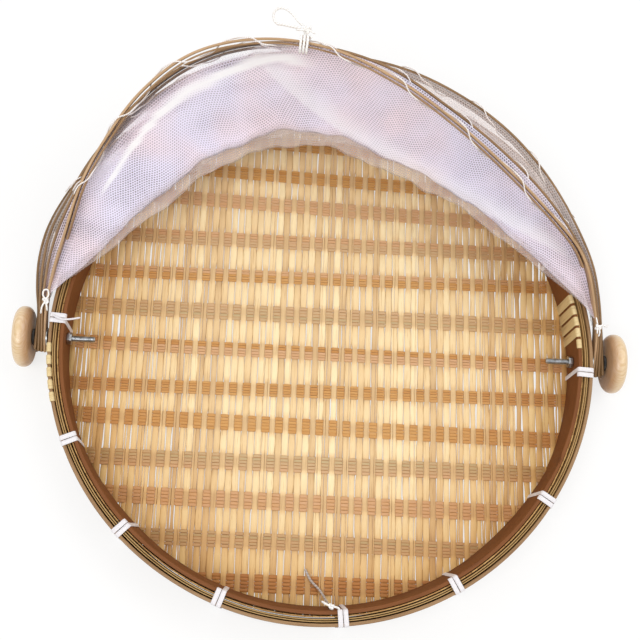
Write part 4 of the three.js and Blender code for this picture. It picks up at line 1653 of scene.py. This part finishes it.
@dataclass
class RimBindings:
    """All the ties and the bamboo skin round the rim.

    Args:
        tie_angles: where the ties cross the rim.
        skin_angles: where the two lashings of bamboo skin cross it, and the hoop that each binds.
        loose_end: the route of the left tie's loose end.
        loose_diameter: its thickness.
    """

    tie_angles: tuple[float, ...] = (
        24, 48, 72, 96, 120, 147, 176.7, 203.2, 225.1, 249.7, 275.5, 300, 326.9, 356.7,
    )
    skin_angles: tuple[tuple[str, float, tuple[float, float]], ...] = (
        ("right_skin_lashing", 8.437, INNER_HOOP_RADII), ("left_skin_lashing", 188.437, OUTER_HOOP_RADII),
    )
    loose_end: tuple[tuple[float, float, float], ...] = (
        (-173, 11.2, 31.4), (-170, 9.6, 31.7), (-166.9, 8.6, 31.8), (-162, 8.9, 31.2), (-156, 11, 28.6),
    )
    loose_diameter: float = 1.3

    def build(self) -> None:
        """Make and seat them."""
        white = StringFinish("tie_string", "e6e2e4", "b9b2b6", flat=True).material()
        skin = BambooFinish("bamboo_skin", "ecd9ac", "dac18c", "b3935a", 1500, 0.4, 0.15).material()
        for i, angle in enumerate(self.tie_angles):
            RimBinding(f"rim_tie_{i + 1:02d}", angle).build(white, Slot.STRING)
        piece = cord_piece("left_tie_loose_end", Bend(self.loose_end), self.loose_diameter, 24, 8)
        finished(piece, Body.TRAY, Slot.STRING, white, "rim_tie_07", tone=0.5)
        for name, angle, radii in self.skin_angles:
            RimBinding(name, angle, 5, 6.0, 0.5, 7.6, radii).build(skin, Slot.SKIN)


@dataclass
class Pivot:
    """The bolt, nut, washers and knob of one side.

    Args:
        side: 1 on the right and -1 on the left.
        bore: the hole in the washers and the knob.
        knob_radius: the knob's radius.
        knob_ends: where the knob starts and ends along the pivot line.
        knob_edge: the radius of its rounded edge.
        nut_ends: where the nut starts and ends.
        thread: where the bolt's thread starts and ends.
        thread_radii: the radii in and on the thread.
        thread_pitch: from one turn of the thread to the next.
    """

    side: int
    bore: float = 4.2
    knob_radius: float = 19.5
    knob_ends: tuple[float, float] = (187.1, 197.1)
    knob_edge: float = 4.6
    nut_ends: tuple[float, float] = (161.9, 165.1)
    thread: tuple[float, float] = (147.9, 166.0)
    thread_radii: tuple[float, float] = (1.66, 2.0)
    thread_pitch: float = 0.7

    @property
    def word(self) -> str:
        """The side's name."""
        return "right" if self.side > 0 else "left"

    def turned(self, part: str, profile: list, steps: int, sharp: float = 35) -> bpy.types.Object:
        """Spin a part about the pivot line, on this side."""
        outline = [(radius, self.side * place) for radius, place in profile]
        return spun(f"{self.word}_{part}", outline, steps, "X", sharp)

    def seat(self, piece: bpy.types.Object, part: str, slot: Slot, material: bpy.types.Material) -> None:
        """Finish one part in place of its solid."""
        finished(piece, Body.TRAY, slot, material, f"{self.word}_{part}")

    def knob(self) -> bpy.types.Object:
        """Turn a wooden wheel with a full round rim and a shallow seat for the screw.

        Returns:
            The piece.
        """
        inner, outer = self.knob_ends
        edge, bore = self.knob_edge, self.bore / 2
        profile = [(bore, inner)]
        for middle, first in ((inner + edge, -90), (outer - edge, 0)):
            for t in range(first, first + 91, 9):
                a = math.radians(t)
                profile.append((self.knob_radius - edge * (1 - math.cos(a)), middle + edge * math.sin(a)))
        seat = ((4.9, 0), (4.6, 0.15), (4.5, 0.5), (4.5, 1.4), (bore, 1.4))
        profile += [(radius, outer - depth) for radius, depth in seat]
        return self.turned("knob_turned", profile, 96, 30)

    def bolt(self) -> bpy.types.Object:
        """Turn a pan head screw with its thread cut to the tip and a cross in its head.

        Returns:
            The piece.
        """
        place, end = self.thread
        root, crest = self.thread_radii
        profile = [(0.0, place - 0.5), (1.5, place - 0.5), (1.62, place - 0.3)]
        while place < end:
            profile += [(root, place), (crest, place + 0.28), (crest, place + 0.36), (root, place + 0.64)]
            place += self.thread_pitch
        profile += [(1.95, end + 0.4), (1.95, 196.0), (3.5, 196.0), (3.5, 196.7)]
        for t in (20, 40, 60, 80):
            a = math.radians(t)
            profile.append((3.5 * math.cos(a) ** 0.6, 196.7 + 1.7 * math.sin(a)))
        profile.append((0.0, 198.4))
        piece = self.turned("bolt_threaded", profile, 32, 30)
        for turn in (20.0, 110.0):
            self.slotted(piece, turn)
        return piece

    def slotted(self, piece: bpy.types.Object, turn: float) -> None:
        """Cut a slot into the screw's head.

        Args:
            piece: the screw.
            turn: how the slot is turned, in degrees.
        """
        select_only()
        bpy.ops.mesh.primitive_cube_add(size=1, location=(0, 0, 0))
        blade = named("cross_blade")
        bpy.ops.transform.resize(value=(1.6 * MM, 0.75 * MM, 4.2 * MM))
        bpy.ops.object.transform_apply(location=False, rotation=False, scale=True)
        blade.data.transform(Matrix.Rotation(math.radians(turn), 4, "X"))
        blade.data.transform(Matrix.Translation((self.side * 198.2 * MM, 0, PIVOT_HEIGHT * MM)))
        cutter = piece.modifiers.new("cross", "BOOLEAN")
        cutter.object = blade
        cutter.operation = "DIFFERENCE"
        cutter.solver = "EXACT"
        select_only(piece)
        bpy.ops.object.modifier_apply(modifier=cutter.name)
        bpy.data.objects.remove(blade)

    def nut(self) -> bpy.types.Object:
        """Make a hexagon nut with turned corners.

        Returns:
            The piece.
        """
        start, end = self.nut_ends
        select_only()
        bpy.ops.mesh.primitive_cylinder_add(
            vertices=6, radius=4.04 * MM, depth=(end - start) * MM, rotation=(0, math.pi / 2, 0)
        )
        piece = named(f"{self.word}_nut_hexagon")
        bpy.ops.object.transform_apply(location=False, rotation=True, scale=False)
        piece.data.transform(Matrix.Translation((self.side * (start + end) / 2 * MM, 0, PIVOT_HEIGHT * MM)))
        with editing():
            bpy.ops.mesh.bevel(offset=0.35 * MM, segments=3, affect="EDGES")
        smooth_by_angle(piece, 30)
        return piece

    def build(
        self,
        steel: bpy.types.Material,
        rubber: bpy.types.Material,
        wood: bpy.types.Material,
    ) -> None:
        """Make and seat the parts of this side.

        Args:
            steel: the material of the bolt, the nut and one washer.
            rubber: the material of the other washers.
            wood: the material of the knob.
        """
        self.seat(self.bolt(), "bolt", Slot.STEEL, steel)
        self.seat(self.nut(), "nut", Slot.STEEL, steel)
        self.seat(self.knob(), "knob", Slot.KNOB, wood)
        washers = (
            ("inner_rubber_washer", 5.25, 175.3, 1.4, Slot.RUBBER, rubber),
            ("steel_washer", 6.0, 177.0, 0.9, Slot.STEEL, steel),
            ("outer_rubber_washer", 5.25, 185.4, 1.4, Slot.RUBBER, rubber),
        )
        for part, radius, start, thickness, slot, material in washers:
            outline = rounded_box(self.bore / 2, radius, start, start + thickness, 0.2)
            self.seat(self.turned(part + "_ring", outline, 48), part, slot, material)


# The cover


@dataclass
class Hoop:
    """One half hoop: a main strip, a thinner cover strip and the thread round both.

    Args:
        index: 0 for the rear hoop to 3 for the front one.
        steps: steps along the strips.
        tones: the shade of each hoop's main strip.
        cover_tone: how much darker the cover strip is.
        tail: how far the main strip runs on past the bolt.
        thread_turns: how often the thread goes round.
        thread_from: the share of the hoop's length without a thread at both ends.
        thread_diameter: the thread's thickness.
        thread_play: how far the thread stands off the strips.
    """

    index: int
    steps: int = 150
    tones: tuple[float, ...] = (0.22, 0.3, 0.36, 0.72)
    cover_tone: float = 0.22
    tail: float = 9.0
    thread_turns: int = 8
    thread_from: float = 0.165
    thread_diameter: float = 0.85
    thread_play: float = 0.4

    def section(self, centre: Vector, out: Vector, thick: float, width: float) -> list[Vector]:
        """A strip's section with rounded corners.

        Args:
            centre: its middle in the hoop's plane.
            out: the direction away from the tray's middle.
            thick: the strip's thickness there.
            width: the strip's width there.

        Returns:
            The corners, at the hoop's rest angle.
        """
        half, side, cut = thick / 2, width / 2, min(0.34, thick / 3)
        corners = []
        for a, b in ((1, 1), (1, -1), (-1, -1), (-1, 1)):
            across, along = (a * (half - cut), b * side), (a * half, b * (side - cut))
            middle = (a * (half - cut * 0.3), b * (side - cut * 0.3))
            corners += [across, middle, along] if a * b > 0 else [along, middle, across]
        return [risen(self.index, centre + out * a + UP * b) for a, b in corners]

    def strip(self, part: str, inset: float, thick: float, width: float, start: float) -> bpy.types.Object:
        """Bend one strip along the hoop, a little thicker at its knots.

        Args:
            part: what the new piece is called after the hoop.
            inset: how far it lies inside the main strip's middle.
            thick: its thickness.
            width: its width.
            start: the share of the hoop's length where it starts at both ends.

        Returns:
            The piece.
        """
        line = hoop_line(self.index)
        seed = random.Random(5 + self.index)
        nodes = [seed.uniform(0.1, 0.2) + k * 0.23 for k in range(4)]
        right = Vector((1, 0, 0))
        tails = [] if start else [(self.tail, 0.8), (self.tail - 0.8, 1.0)]
        rings = [(line.at(0) - Vector((0, drop, 0)), right, swell) for drop, swell in tails]
        for i in range(self.steps + 1):
            share = mix(start, 1 - start, i / self.steps)
            out = line.out(share)
            if share in (0, 1):
                out = right if share == 0 else -right
            swell = sum(math.exp(-(((share - node) * line.length / 2.2) ** 2)) for node in nodes)
            rings.append((line.at(share) - out * inset, out, 1 + 0.1 * swell))
        rings += [(line.at(1) - Vector((0, drop, 0)), -right, swell) for drop, swell in reversed(tails)]
        sections = [
            self.section(centre, out, thick * swell, width - (1 - min(swell, 1)) * 4)
            for centre, out, swell in rings
        ]
        return laid_grid(f"{HOOP_NAMES[self.index]}_{part}", sections, sharp=50)

    def thread(self) -> bpy.types.Object:
        """Wind the sewing thread round both strips in an open spiral.

        Returns:
            The piece.
        """
        shares = (self.thread_from, 1 - self.thread_from)
        line, count = wound_line(
            self.index, self.thread_turns, shares, self.thread_play, self.thread_diameter
        )
        return cord_piece(
            HOOP_NAMES[self.index] + "_thread_wound", line, self.thread_diameter, count * 7, 7
        )

    def build(self, bamboo: bpy.types.Material, white: bpy.types.Material) -> None:
        """Make and seat the hoop's three pieces.

        Args:
            bamboo: the material of both strips.
            white: the material of the thread.
        """
        name, body, tone = HOOP_NAMES[self.index], HOOP_BODIES[self.index], self.tones[self.index]
        main = self.strip("main_bamboo", 0, STRIP_THICKNESS, STRIP_WIDTH, 0)
        finished(main, body, Slot.HOOP, bamboo, name + "_main_strip", tone=tone)
        cover = self.strip("cover_bamboo", COVER_INSET, COVER_THICKNESS, COVER_WIDTH, COVER_START)
        finished(cover, body, Slot.HOOP, bamboo, name + "_cover_strip", tone=tone - self.cover_tone)
        finished(self.thread(), body, Slot.STRING, white, name + "_thread", tone=0.5)


@dataclass
class NetPanel:
    """One panel of gauze between two hoops, folded inwards over the tray.

    Args:
        index: 0 for the rear panel to 2 for the front one.
        columns: steps along the hoops.
        rows: steps from one hem to the other.
        gather_share: the share of the hoops' length where the panel is gathered into a knot.
        hem_reach: how far the hem reaches in from the strip's edge.
        hem_exit: how far from the strip's middle the cloth leaves the hem.
        slack_depth: how far the front hem hangs off its hoop between two stitches.
        fold_floor: the least height of the folds over the tray.
        fold_squash: how flat the folds lie on each other.
        fold_reach: how far in each panel's fold reaches, as a share of the line of the folds.
        fold_shares: the line of the folds, as shares of the rear hoop's half width and depth.
        row_shares: for each row how far in it lies and how far it follows the upper hoop.
        pleat_share: how deep the pleats are, as a share of the fold's reach.
        pleat_counts: how many wide and narrow pleats there are.
        rim_pass: the radius inside which the cloth stays above the rim.
        crease: the two ends of the front panel's crease, seen from above.
        plain_white: stored as "white" where the cloth is neither double nor creased; it deepens the holes'
            painted shade.
    """

    index: int
    columns: int = 200
    rows: int = 46
    gather_share: float = 0.045
    hem_reach: float = 2.4
    hem_exit: float = 5.75
    slack_depth: float = 6.5
    fold_floor: float = 32.6
    fold_squash: float = 0.42
    fold_reach: tuple[float, ...] = (0.83, 1.0, 0.87)
    fold_shares: tuple[tuple[float, float], ...] = (
        (0.965, 0.13), (0.92, 0.19), (0.84, 0.25), (0.64, 0.38), (0.46, 0.5), (0.25, 0.59), (0.03, 0.67),
        (-0.15, 0.685), (-0.38, 0.6), (-0.61, 0.42), (-0.8, 0.265), (-0.91, 0.185), (-0.965, 0.13),
    )
    row_shares: tuple[tuple[float, float], ...] = (
        (0.05, 0.04), (0.14, 0.08), (0.5, 0.2), (0.93, 0.42), (1, 0.5), (0.9, 0.6), (0.45, 0.82),
    )
    pleat_share: float = 0.018
    pleat_counts: tuple[int, int] = (9, 23)
    rim_pass: float = 177.9
    crease: tuple[tuple[float, float], ...] = ((-57.5, 163.0), (-15.0, 142.4))
    plain_white: float = -0.4

    def __post_init__(self) -> None:
        """Lay out the lines that the panel hangs between."""
        self.fold = Bend([(x * HALF_WIDTHS[0], y * HALF_HOOP_DEPTH, 0) for x, y in self.fold_shares])
        self.lines = [hoop_line(self.index + k) for k in (0, 1)]

    def swung(self, x: float, distance: float, angle: float) -> Vector:
        """A place given by its distance from the pivot line and its angle."""
        return Vector((x, distance * math.cos(angle), PIVOT_HEIGHT + distance * math.sin(angle)))

    def slack(self, which: int, share: float) -> float:
        """How far the hem hangs off its hoop: only the front hoop's, on its left.

        Args:
            which: 0 for the lower hoop and 1 for the upper one.
            share: the place along the hoop.

        Returns:
            The distance inwards.
        """
        if self.index + which < FRONT_HOOP:
            return 0.0
        return self.slack_depth * smooth(math.sin(math.pi * min(max((share - 0.53) / 0.22, 0), 1)))

    def hem_place(self, which: int, share: float, across: float) -> Vector:
        """A place in a hem.

        Args:
            which: 0 for the lower hoop and 1 for the upper one.
            share: the place along the hoop.
            across: the place across the hoop's width.

        Returns:
            The place.
        """
        inset = HEM_INSET + self.slack(which, share)
        place = self.lines[which].beside(share, -inset, across)
        angle = math.radians(REST_ANGLES[self.index + which]) + math.atan2(place.z, place.y)
        return self.swung(place.x, math.hypot(place.y, place.z), angle)

    def pleated(self, fold_share: float, ends: float) -> float:
        """How much further in the pleats reach.

        Args:
            fold_share: the place along the fold.
            ends: 0 at both gathered ends and 1 at the top.

        Returns:
            A share of the fold's reach.
        """
        wide, narrow = (math.tau * count * fold_share for count in self.pleat_counts)
        waves = math.sin(wide + 1.7 * self.index) + 0.5 * math.sin(narrow + 2.3 * self.index)
        return self.pleat_share * ends * waves

    def cloth_place(self, share: float, inward: float, turn: float) -> Vector:
        """A place of the cloth between its hems.

        Args:
            share: the place along the hoops.
            inward: how far in it lies, from 0 at the hems to 1 at the fold.
            turn: how far it follows the upper hoop.

        Returns:
            The place.
        """
        hems = [
            line.beside(share, -HEM_INSET - self.slack(which, share), 0)
            for which, line in enumerate(self.lines)
        ]
        hem = hems[0].lerp(hems[1], turn)
        fold_share = (share - self.gather_share) / (1 - 2 * self.gather_share)
        fold = self.fold.at(fold_share)
        ends = max(math.sin(math.pi * fold_share), 0)
        reach = mix(1, self.fold_reach[self.index], min(2 * ends, 1)) + self.pleated(fold_share, ends)
        x = hem.x + (fold.x - hem.x) * inward * reach
        distance = hem.y + (fold.y - hem.y) * inward * reach
        margin = min(math.atan2(self.hem_exit, hem.y), math.radians(3.2))
        low, high = (math.radians(REST_ANGLES[self.index + which]) for which in (0, 1))
        angle = mix(low + margin, high - margin, turn)
        floor = math.asin(min((self.fold_floor + self.index - PIVOT_HEIGHT) / distance, 1))
        sag = smooth(inward) * min(1.6 * ends, 1) ** 0.5
        place = self.swung(x, distance, mix(angle, floor + self.fold_squash * angle, sag))
        wrinkle = math.sin(x / 17 + distance / 29 + 2 * self.index) * math.sin(x / 41 - distance / 13)
        place.z += 1.1 * wrinkle * ends * inward
        return place

    def cleared(self, place: Vector, layer: float) -> Vector:
        """Keep a place of the cloth above the rim and the tray's inside.

        Args:
            place: the place.
            layer: 0 at the lower hem to 1 at the upper one.

        Returns:
            The place, lifted where it has to be.
        """
        least = self.fold_floor + self.index + 0.8 * layer
        if math.hypot(place.x, place.y) < self.rim_pass and place.z < least:
            return Vector((place.x, place.y, least))
        return place

    def column(self, share: float) -> list[Vector]:
        """All places from the lower hem to the upper one.

        Args:
            share: the place along the hoops.

        Returns:
            The places.
        """
        inner = STRIP_WIDTH / 2 - self.hem_reach
        return [
            self.hem_place(0, share, inner),
            self.hem_place(0, share, self.hem_exit),
            *(self.cloth_place(share, *row) for row in self.row_shares),
            self.hem_place(1, share, -self.hem_exit),
            self.hem_place(1, share, -inner),
        ]

    def openness(self, share: float, span: float, fold: float) -> float:
        """How far the cloth is stretched open: near the hems at the upper left, and at the folds.

        Args:
            share: the place along the hoops.
            span: how far inside the nearer hoop it is, seen from above.
            fold: how far it is from the fold.

        Returns:
            A share from 0 to 1.
        """
        left = smooth((share - 0.51) / 0.06) * smooth((0.84 - share) / 0.08)
        if self.index < 2:
            return max(left * smooth((20.0 - span) / 5.0), 0.45 * smooth((16.0 - fold) / 7.0))
        return max(left * smooth((9.5 - span) / 3.0), 0.5 * smooth((6.0 - fold) / 3.0))

    def whiteness(self, share: float, span: float, place: Vector) -> float:
        """How white the front panel's top is: more in its doubled hem and crease; at the ends, darker
        painted shade in its holes.

        Args:
            share: the place along the hoops.
            span: how far inside the front hoop it is, seen from above.
            place: the place itself.

        Returns:
            A share of whiteness, or below zero how much deeper the painted shade in its holes is.
        """
        # Below zero towards both gathered ends: deeper painted shade in the holes.
        thin = -0.5 * smooth((0.2 - share) / 0.12) - 1.3 * smooth((share - 0.68) / 0.2)
        left = smooth((share - 0.5) / 0.04) * smooth((0.86 - share) / 0.08)
        middle = mix(4.0, 11.5, smooth((share - 0.54) / 0.1))
        hem = 0.95 * left * smooth((2.6 - abs(span - middle)) / 1.4)
        start, end = (Vector(p) for p in self.crease)
        along = (end - start).normalized()
        past = place.xy - start
        beside, run = past.x * -along.y + past.y * along.x, past.dot(along)
        crease = 0.45 * smooth(beside / 1.2) * smooth((13.0 - beside) / 10.0) * smooth(run / 6.0)
        return max(thin * (1 - hem), -1.3) + max(hem, crease * (1 - hem))

    def sheet(self) -> bpy.types.Object:
        """Lay the cloth, and store how far each place follows the upper hoop and how it looks.

        Returns:
            The piece.
        """
        rings, follow, opened, whitened = [], [], [], []
        turns = [0.0, 0.02, *(turn for _, turn in self.row_shares), 0.98, 1.0]
        for i in range(self.columns + 1):
            share = mix(self.gather_share, 1 - self.gather_share, i / self.columns)
            line = Bend(self.column(share), 8)
            marks = np.interp(np.arange(len(line.table)) / line.fineness, np.arange(len(turns)), turns)
            fold = float(np.interp(0.5, marks, line.lengths))
            hems = [risen(self.index + k, self.lines[k].at(share)) for k in (0, 1)]
            ring = []
            for j in range(self.rows + 1):
                run = j / self.rows * line.length
                place = self.cleared(line.at(j / self.rows), j / self.rows)
                past_fold = run > fold
                span = (place - hems[past_fold]).xy.length
                ring.append(place)
                follow.append(float(np.interp(run, line.lengths, marks)))
                opened.append(self.openness(share, span, abs(run - fold)))
                top = self.index == 2 and past_fold
                whitened.append(self.whiteness(share, span, place) if top else self.plain_white)
            rings.append(ring)
        piece = laid_grid(f"{HOOP_NAMES[self.index]}_gauze", rings, tube=False, sharp=180)
        for name, values in (("follow", follow), ("open", opened), ("white", whitened)):
            store(piece, name, values)
        return piece

    def build(self, material: bpy.types.Material, node: str) -> None:
        """Args:
            material: the gauze.
            node: the solid that the panel stands for.
        """
        piece = self.sheet()
        piece.data.materials.append(material)
        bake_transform(piece)
        follow = np.zeros(len(piece.data.vertices), np.float32)
        piece.data.attributes["follow"].data.foreach_get("value", follow)
        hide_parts(node)


# For each knot its tails: the thickness, then the places of the route from the knot's middle
KNOT_TAILS = {
    "top_knot_tied": (
        (1.2, (-3, -1.5, 1.5), (-6.5, -1, 0.5)),
        (1.2, (2.5, -2, 1.5), (5, -2.6, 0)),
    ),
    "left_side_bow": (
        (1.1, (-1.8, 3, 1.5), (-1.4, 6, 2), (0.8, 6.4, 2), (1.6, 3.4, 1.4), (0.5, 0.8, 0.8)),
        (1.1, (0.8, -3.5, 0.5), (1.2, -6.5, -1)),
        (1.1, (-2, -4, 0), (-3, -8, -3)),
    ),
    "right_side_knot_tied": (
        (1.0, (-0.8, 4, 1), (-1.3, 6.5, 1)),
        (1.0, (-1, -2, 2), (-1.4, -5, 2.5)),
        (1.0, (3, 1.5, 0.6), (6, 1, -1.5), (8.2, 3, -3)),
        (1.0, (0.8, -3, 1), (0.5, -6, -1)),
    ),
    "front_knot_tied": (
        (1.3, (-3.5, 1.5, 0.4), (-6, 3, -1.5)),
        (1.3, (3.5, -0.5, 1.5), (5, -1.5, 2.4)),
    ),
}


@dataclass
class Strings:
    """The white strings: tie, knot and loop at the top, side knots, and the front string.

    Args:
        diameter: the string's thickness.
        top_share: the place of the top tie along the front hoop.
        top_turns: how often it goes round.
        top_pitch: from one turn to the next, against the string's thickness.
        top_play: how far it stands off the strips.
        top_size: the size of its knot.
        knot_gap: how far the knots stand off what they lie on.
        knot_strand: the thickness of a knot's strand against its size.
        side_share: how far from the front hoop's ends the side knots are.
        side_size: their size.
        front_knot: the middle of the front tie's knot.
        front_size: its size.
        mat_top: the height on which the front string lies.
        loop_route: the loop, told from the top knot's middle in the front hoop's plane.
        front_drop: the front string, told from its knot: right, back and the share of its height.
    """

    diameter: float = 1.5
    top_share: float = 0.518
    top_turns: int = 3
    top_pitch: float = 1.35
    top_play: float = 2.05
    top_size: float = 6.0
    knot_gap: float = 0.3
    knot_strand: float = 0.29
    side_share: float = 0.045
    side_size: float = 5.0
    front_knot: tuple[float, float, float] = (9.094, -162.646, 27.8)
    front_size: float = 4.4
    mat_top: float = 2.3
    loop_route: tuple[tuple[float, float, float], ...] = (
        (-2.8, 2.2, -1), (-6, 5, -2), (-9.8, 9, -3.4), (-14.3, 11.4, -5.3), (-17.8, 11.1, -6.6),
        (-20.2, 8.5, -7.5), (-20.2, 4.9, -7.5), (-17.8, 2.3, -6.6), (-14.3, 2, -5.3),
        (-10.2, 1.3, -3.5), (-6.6, 0.8, -2.1), (-3.5, 0.3, -1),
    )
    front_drop: tuple[tuple[float, float, float], ...] = (
        (0, 0, 1), (-0.2, 0.4, 0.8), (-0.9, 1.6, 0.46), (-2.5, 5.1, 0.155), (-6.1, 10.6, 0.01),
        (-11.6, 16.1, 0), (-15.6, 23.1, 0),
    )

    def beside_hoop(self, share: float, away: float, across: float) -> Vector:
        """A place beside the front hoop, in its plane."""
        return hoop_line(FRONT_HOOP).beside(share, away, across)

    @property
    def top_knot(self) -> Vector:
        """The middle of the top knot in the front hoop's plane."""
        away = STRIP_THICKNESS / 2 + self.top_play + self.diameter + self.knot_gap + self.top_size / 2
        return self.beside_hoop(self.top_share, away, 0)

    def knot(self, name: str, centre: Vector, size: float, turn: Sequence[float]) -> bpy.types.Object:
        """Tie an overhand knot with its tails as one piece.

        Args:
            name: the piece's name.
            centre: its middle in millimetres.
            size: its diameter.
            turn: how it is turned, in radians about the three axes.

        Returns:
            The piece.
        """
        thick = size * self.knot_strand
        places = []
        for i in range(25):
            t = math.tau * i / 24
            x, y = math.sin(t) + 2 * math.sin(2 * t), math.cos(t) - 2 * math.cos(2 * t)
            place = Vector((x, y, -1.5 * math.sin(3 * t)))
            place.rotate(Euler(turn))
            places.append(centre + place * (size - thick) / 6)
        strands = [cord_piece(name, Bend(places, 6), thick, 120, ends=False)]
        for width, *route in KNOT_TAILS[name]:
            line = Bend([centre, *(centre + Vector(p) for p in route)], 8)
            strands.append(cord_piece(name, line, width, max(int(line.length * 1.6), 8)))
        select_only(*strands)
        bpy.ops.object.join()
        return named(name)

    def loop(self, white: bpy.types.Material) -> None:
        """Hang the loop over the back from the top knot.

        Args:
            white: its material.
        """
        line = Bend([risen(FRONT_HOOP, self.top_knot + Vector(p)) for p in self.loop_route], 16)
        piece = cord_piece("top_loop_cord", line, self.diameter, 130, 12)
        finished(piece, Body.FRONT, Slot.STRING, white, "top_string_loop", tone=0.5)
        log.info("top loop: %.1f mm", line.length)

    def front(self, white: bpy.types.Material) -> None:
        """Lay the short string on the mat below the front tie.

        Args:
            white: its material.
        """
        right, back, height = self.front_knot
        top = height - 0.4 * self.front_size - self.diameter
        bottom = self.mat_top + self.diameter / 2
        line = Bend([(right + x, back + y, mix(bottom, top, share)) for x, y, share in self.front_drop], 16)
        piece = cord_piece("front_string_cord", line, self.diameter, 60, 12)
        finished(piece, Body.TRAY, Slot.STRING, white, "front_string", tone=0.5)
        log.info("front string: %.1f mm", line.length)

    def top_tie(self, white: bpy.types.Material) -> None:
        """Wind the string round the top of the front hoop.

        Args:
            white: its material.
        """
        half = self.top_turns * self.diameter * self.top_pitch / hoop_line(FRONT_HOOP).length / 2
        shares = (self.top_share - half, self.top_share + half)
        line, count = wound_line(FRONT_HOOP, self.top_turns, shares, self.top_play, self.diameter)
        piece = cord_piece("top_tie_wound", line, self.diameter, count * 8)
        finished(piece, Body.FRONT, Slot.STRING, white, "top_string_tie", tone=0.5)

    def knots(self, white: bpy.types.Material) -> None:
        """Tie the knots of the top, both sides and the front.

        Args:
            white: their material.
        """
        across = STRIP_WIDTH / 2 + self.knot_gap + self.side_size * 0.4
        top, left, right = (
            risen(FRONT_HOOP, place)
            for place in (
                self.top_knot,
                self.beside_hoop(1 - self.side_share, 0, across),
                self.beside_hoop(self.side_share, 0, across),
            )
        )
        front = Vector(self.front_knot)
        knots = (
            ("top_string_knot", Body.FRONT, "top_knot_tied", top, self.top_size, (0.4, 0.2, 0)),
            ("left_side_knot", Body.FRONT, "left_side_bow", left, self.side_size, (0.2, 0.5, 0.4)),
            ("right_side_knot", Body.FRONT, "right_side_knot_tied", right, self.side_size, (0.1, 0.3, 1.4)),
            ("front_string_knot", Body.TRAY, "front_knot_tied", front, self.front_size, (0.5, 0.1, 0)),
        )
        for node, body, *shape in knots:
            finished(self.knot(*shape), body, Slot.STRING, white, node, tone=0.5)

    def build(self) -> None:
        """Make and seat the strings, the free cords first."""
        white = StringFinish("white_string", "f6f4f1", "e6e1db").material()
        self.loop(white)
        self.front(StringFinish("dusty_string", "b9aca3", "95887e").material())
        self.top_tie(white)
        self.knots(white)


def main() -> None:
    """Build the whole scene in order."""
    Studio().build()
    Strings().build()
    WovenMat().build()
    Rim().build()
    RimBindings().build()
    steel, rubber = SteelFinish().material(), RubberFinish().material()
    wood = TurnedWoodFinish().material()
    for side in (-1, 1):
        Pivot(side).build(steel, rubber, wood)
    bamboo = BambooFinish("hoop_bamboo", "d0ad86", "99764e", "553e20", 1400, 0.5, 0.1).material()
    thread = StringFinish("sewing_thread", white="f4efec", shade="d8ccc4", twist=1400).material()
    for index in range(len(HOOP_NAMES)):
        Hoop(index).build(bamboo, thread)
    inner_gauze = NetFinish("inner_gauze", "fff2f0", "fff3ec", "b89a90", cover=0.45, depth=0.3).material()
    outer_gauze = NetFinish().material()
    panels = (
        ("rear_net_panel", inner_gauze),
        ("middle_net_panel", inner_gauze),
        ("front_net_panel", outer_gauze),
    )
    for index, (node, gauze) in enumerate(panels):
        NetPanel(index).build(gauze, node)


if __name__ == "__main__":
    main()
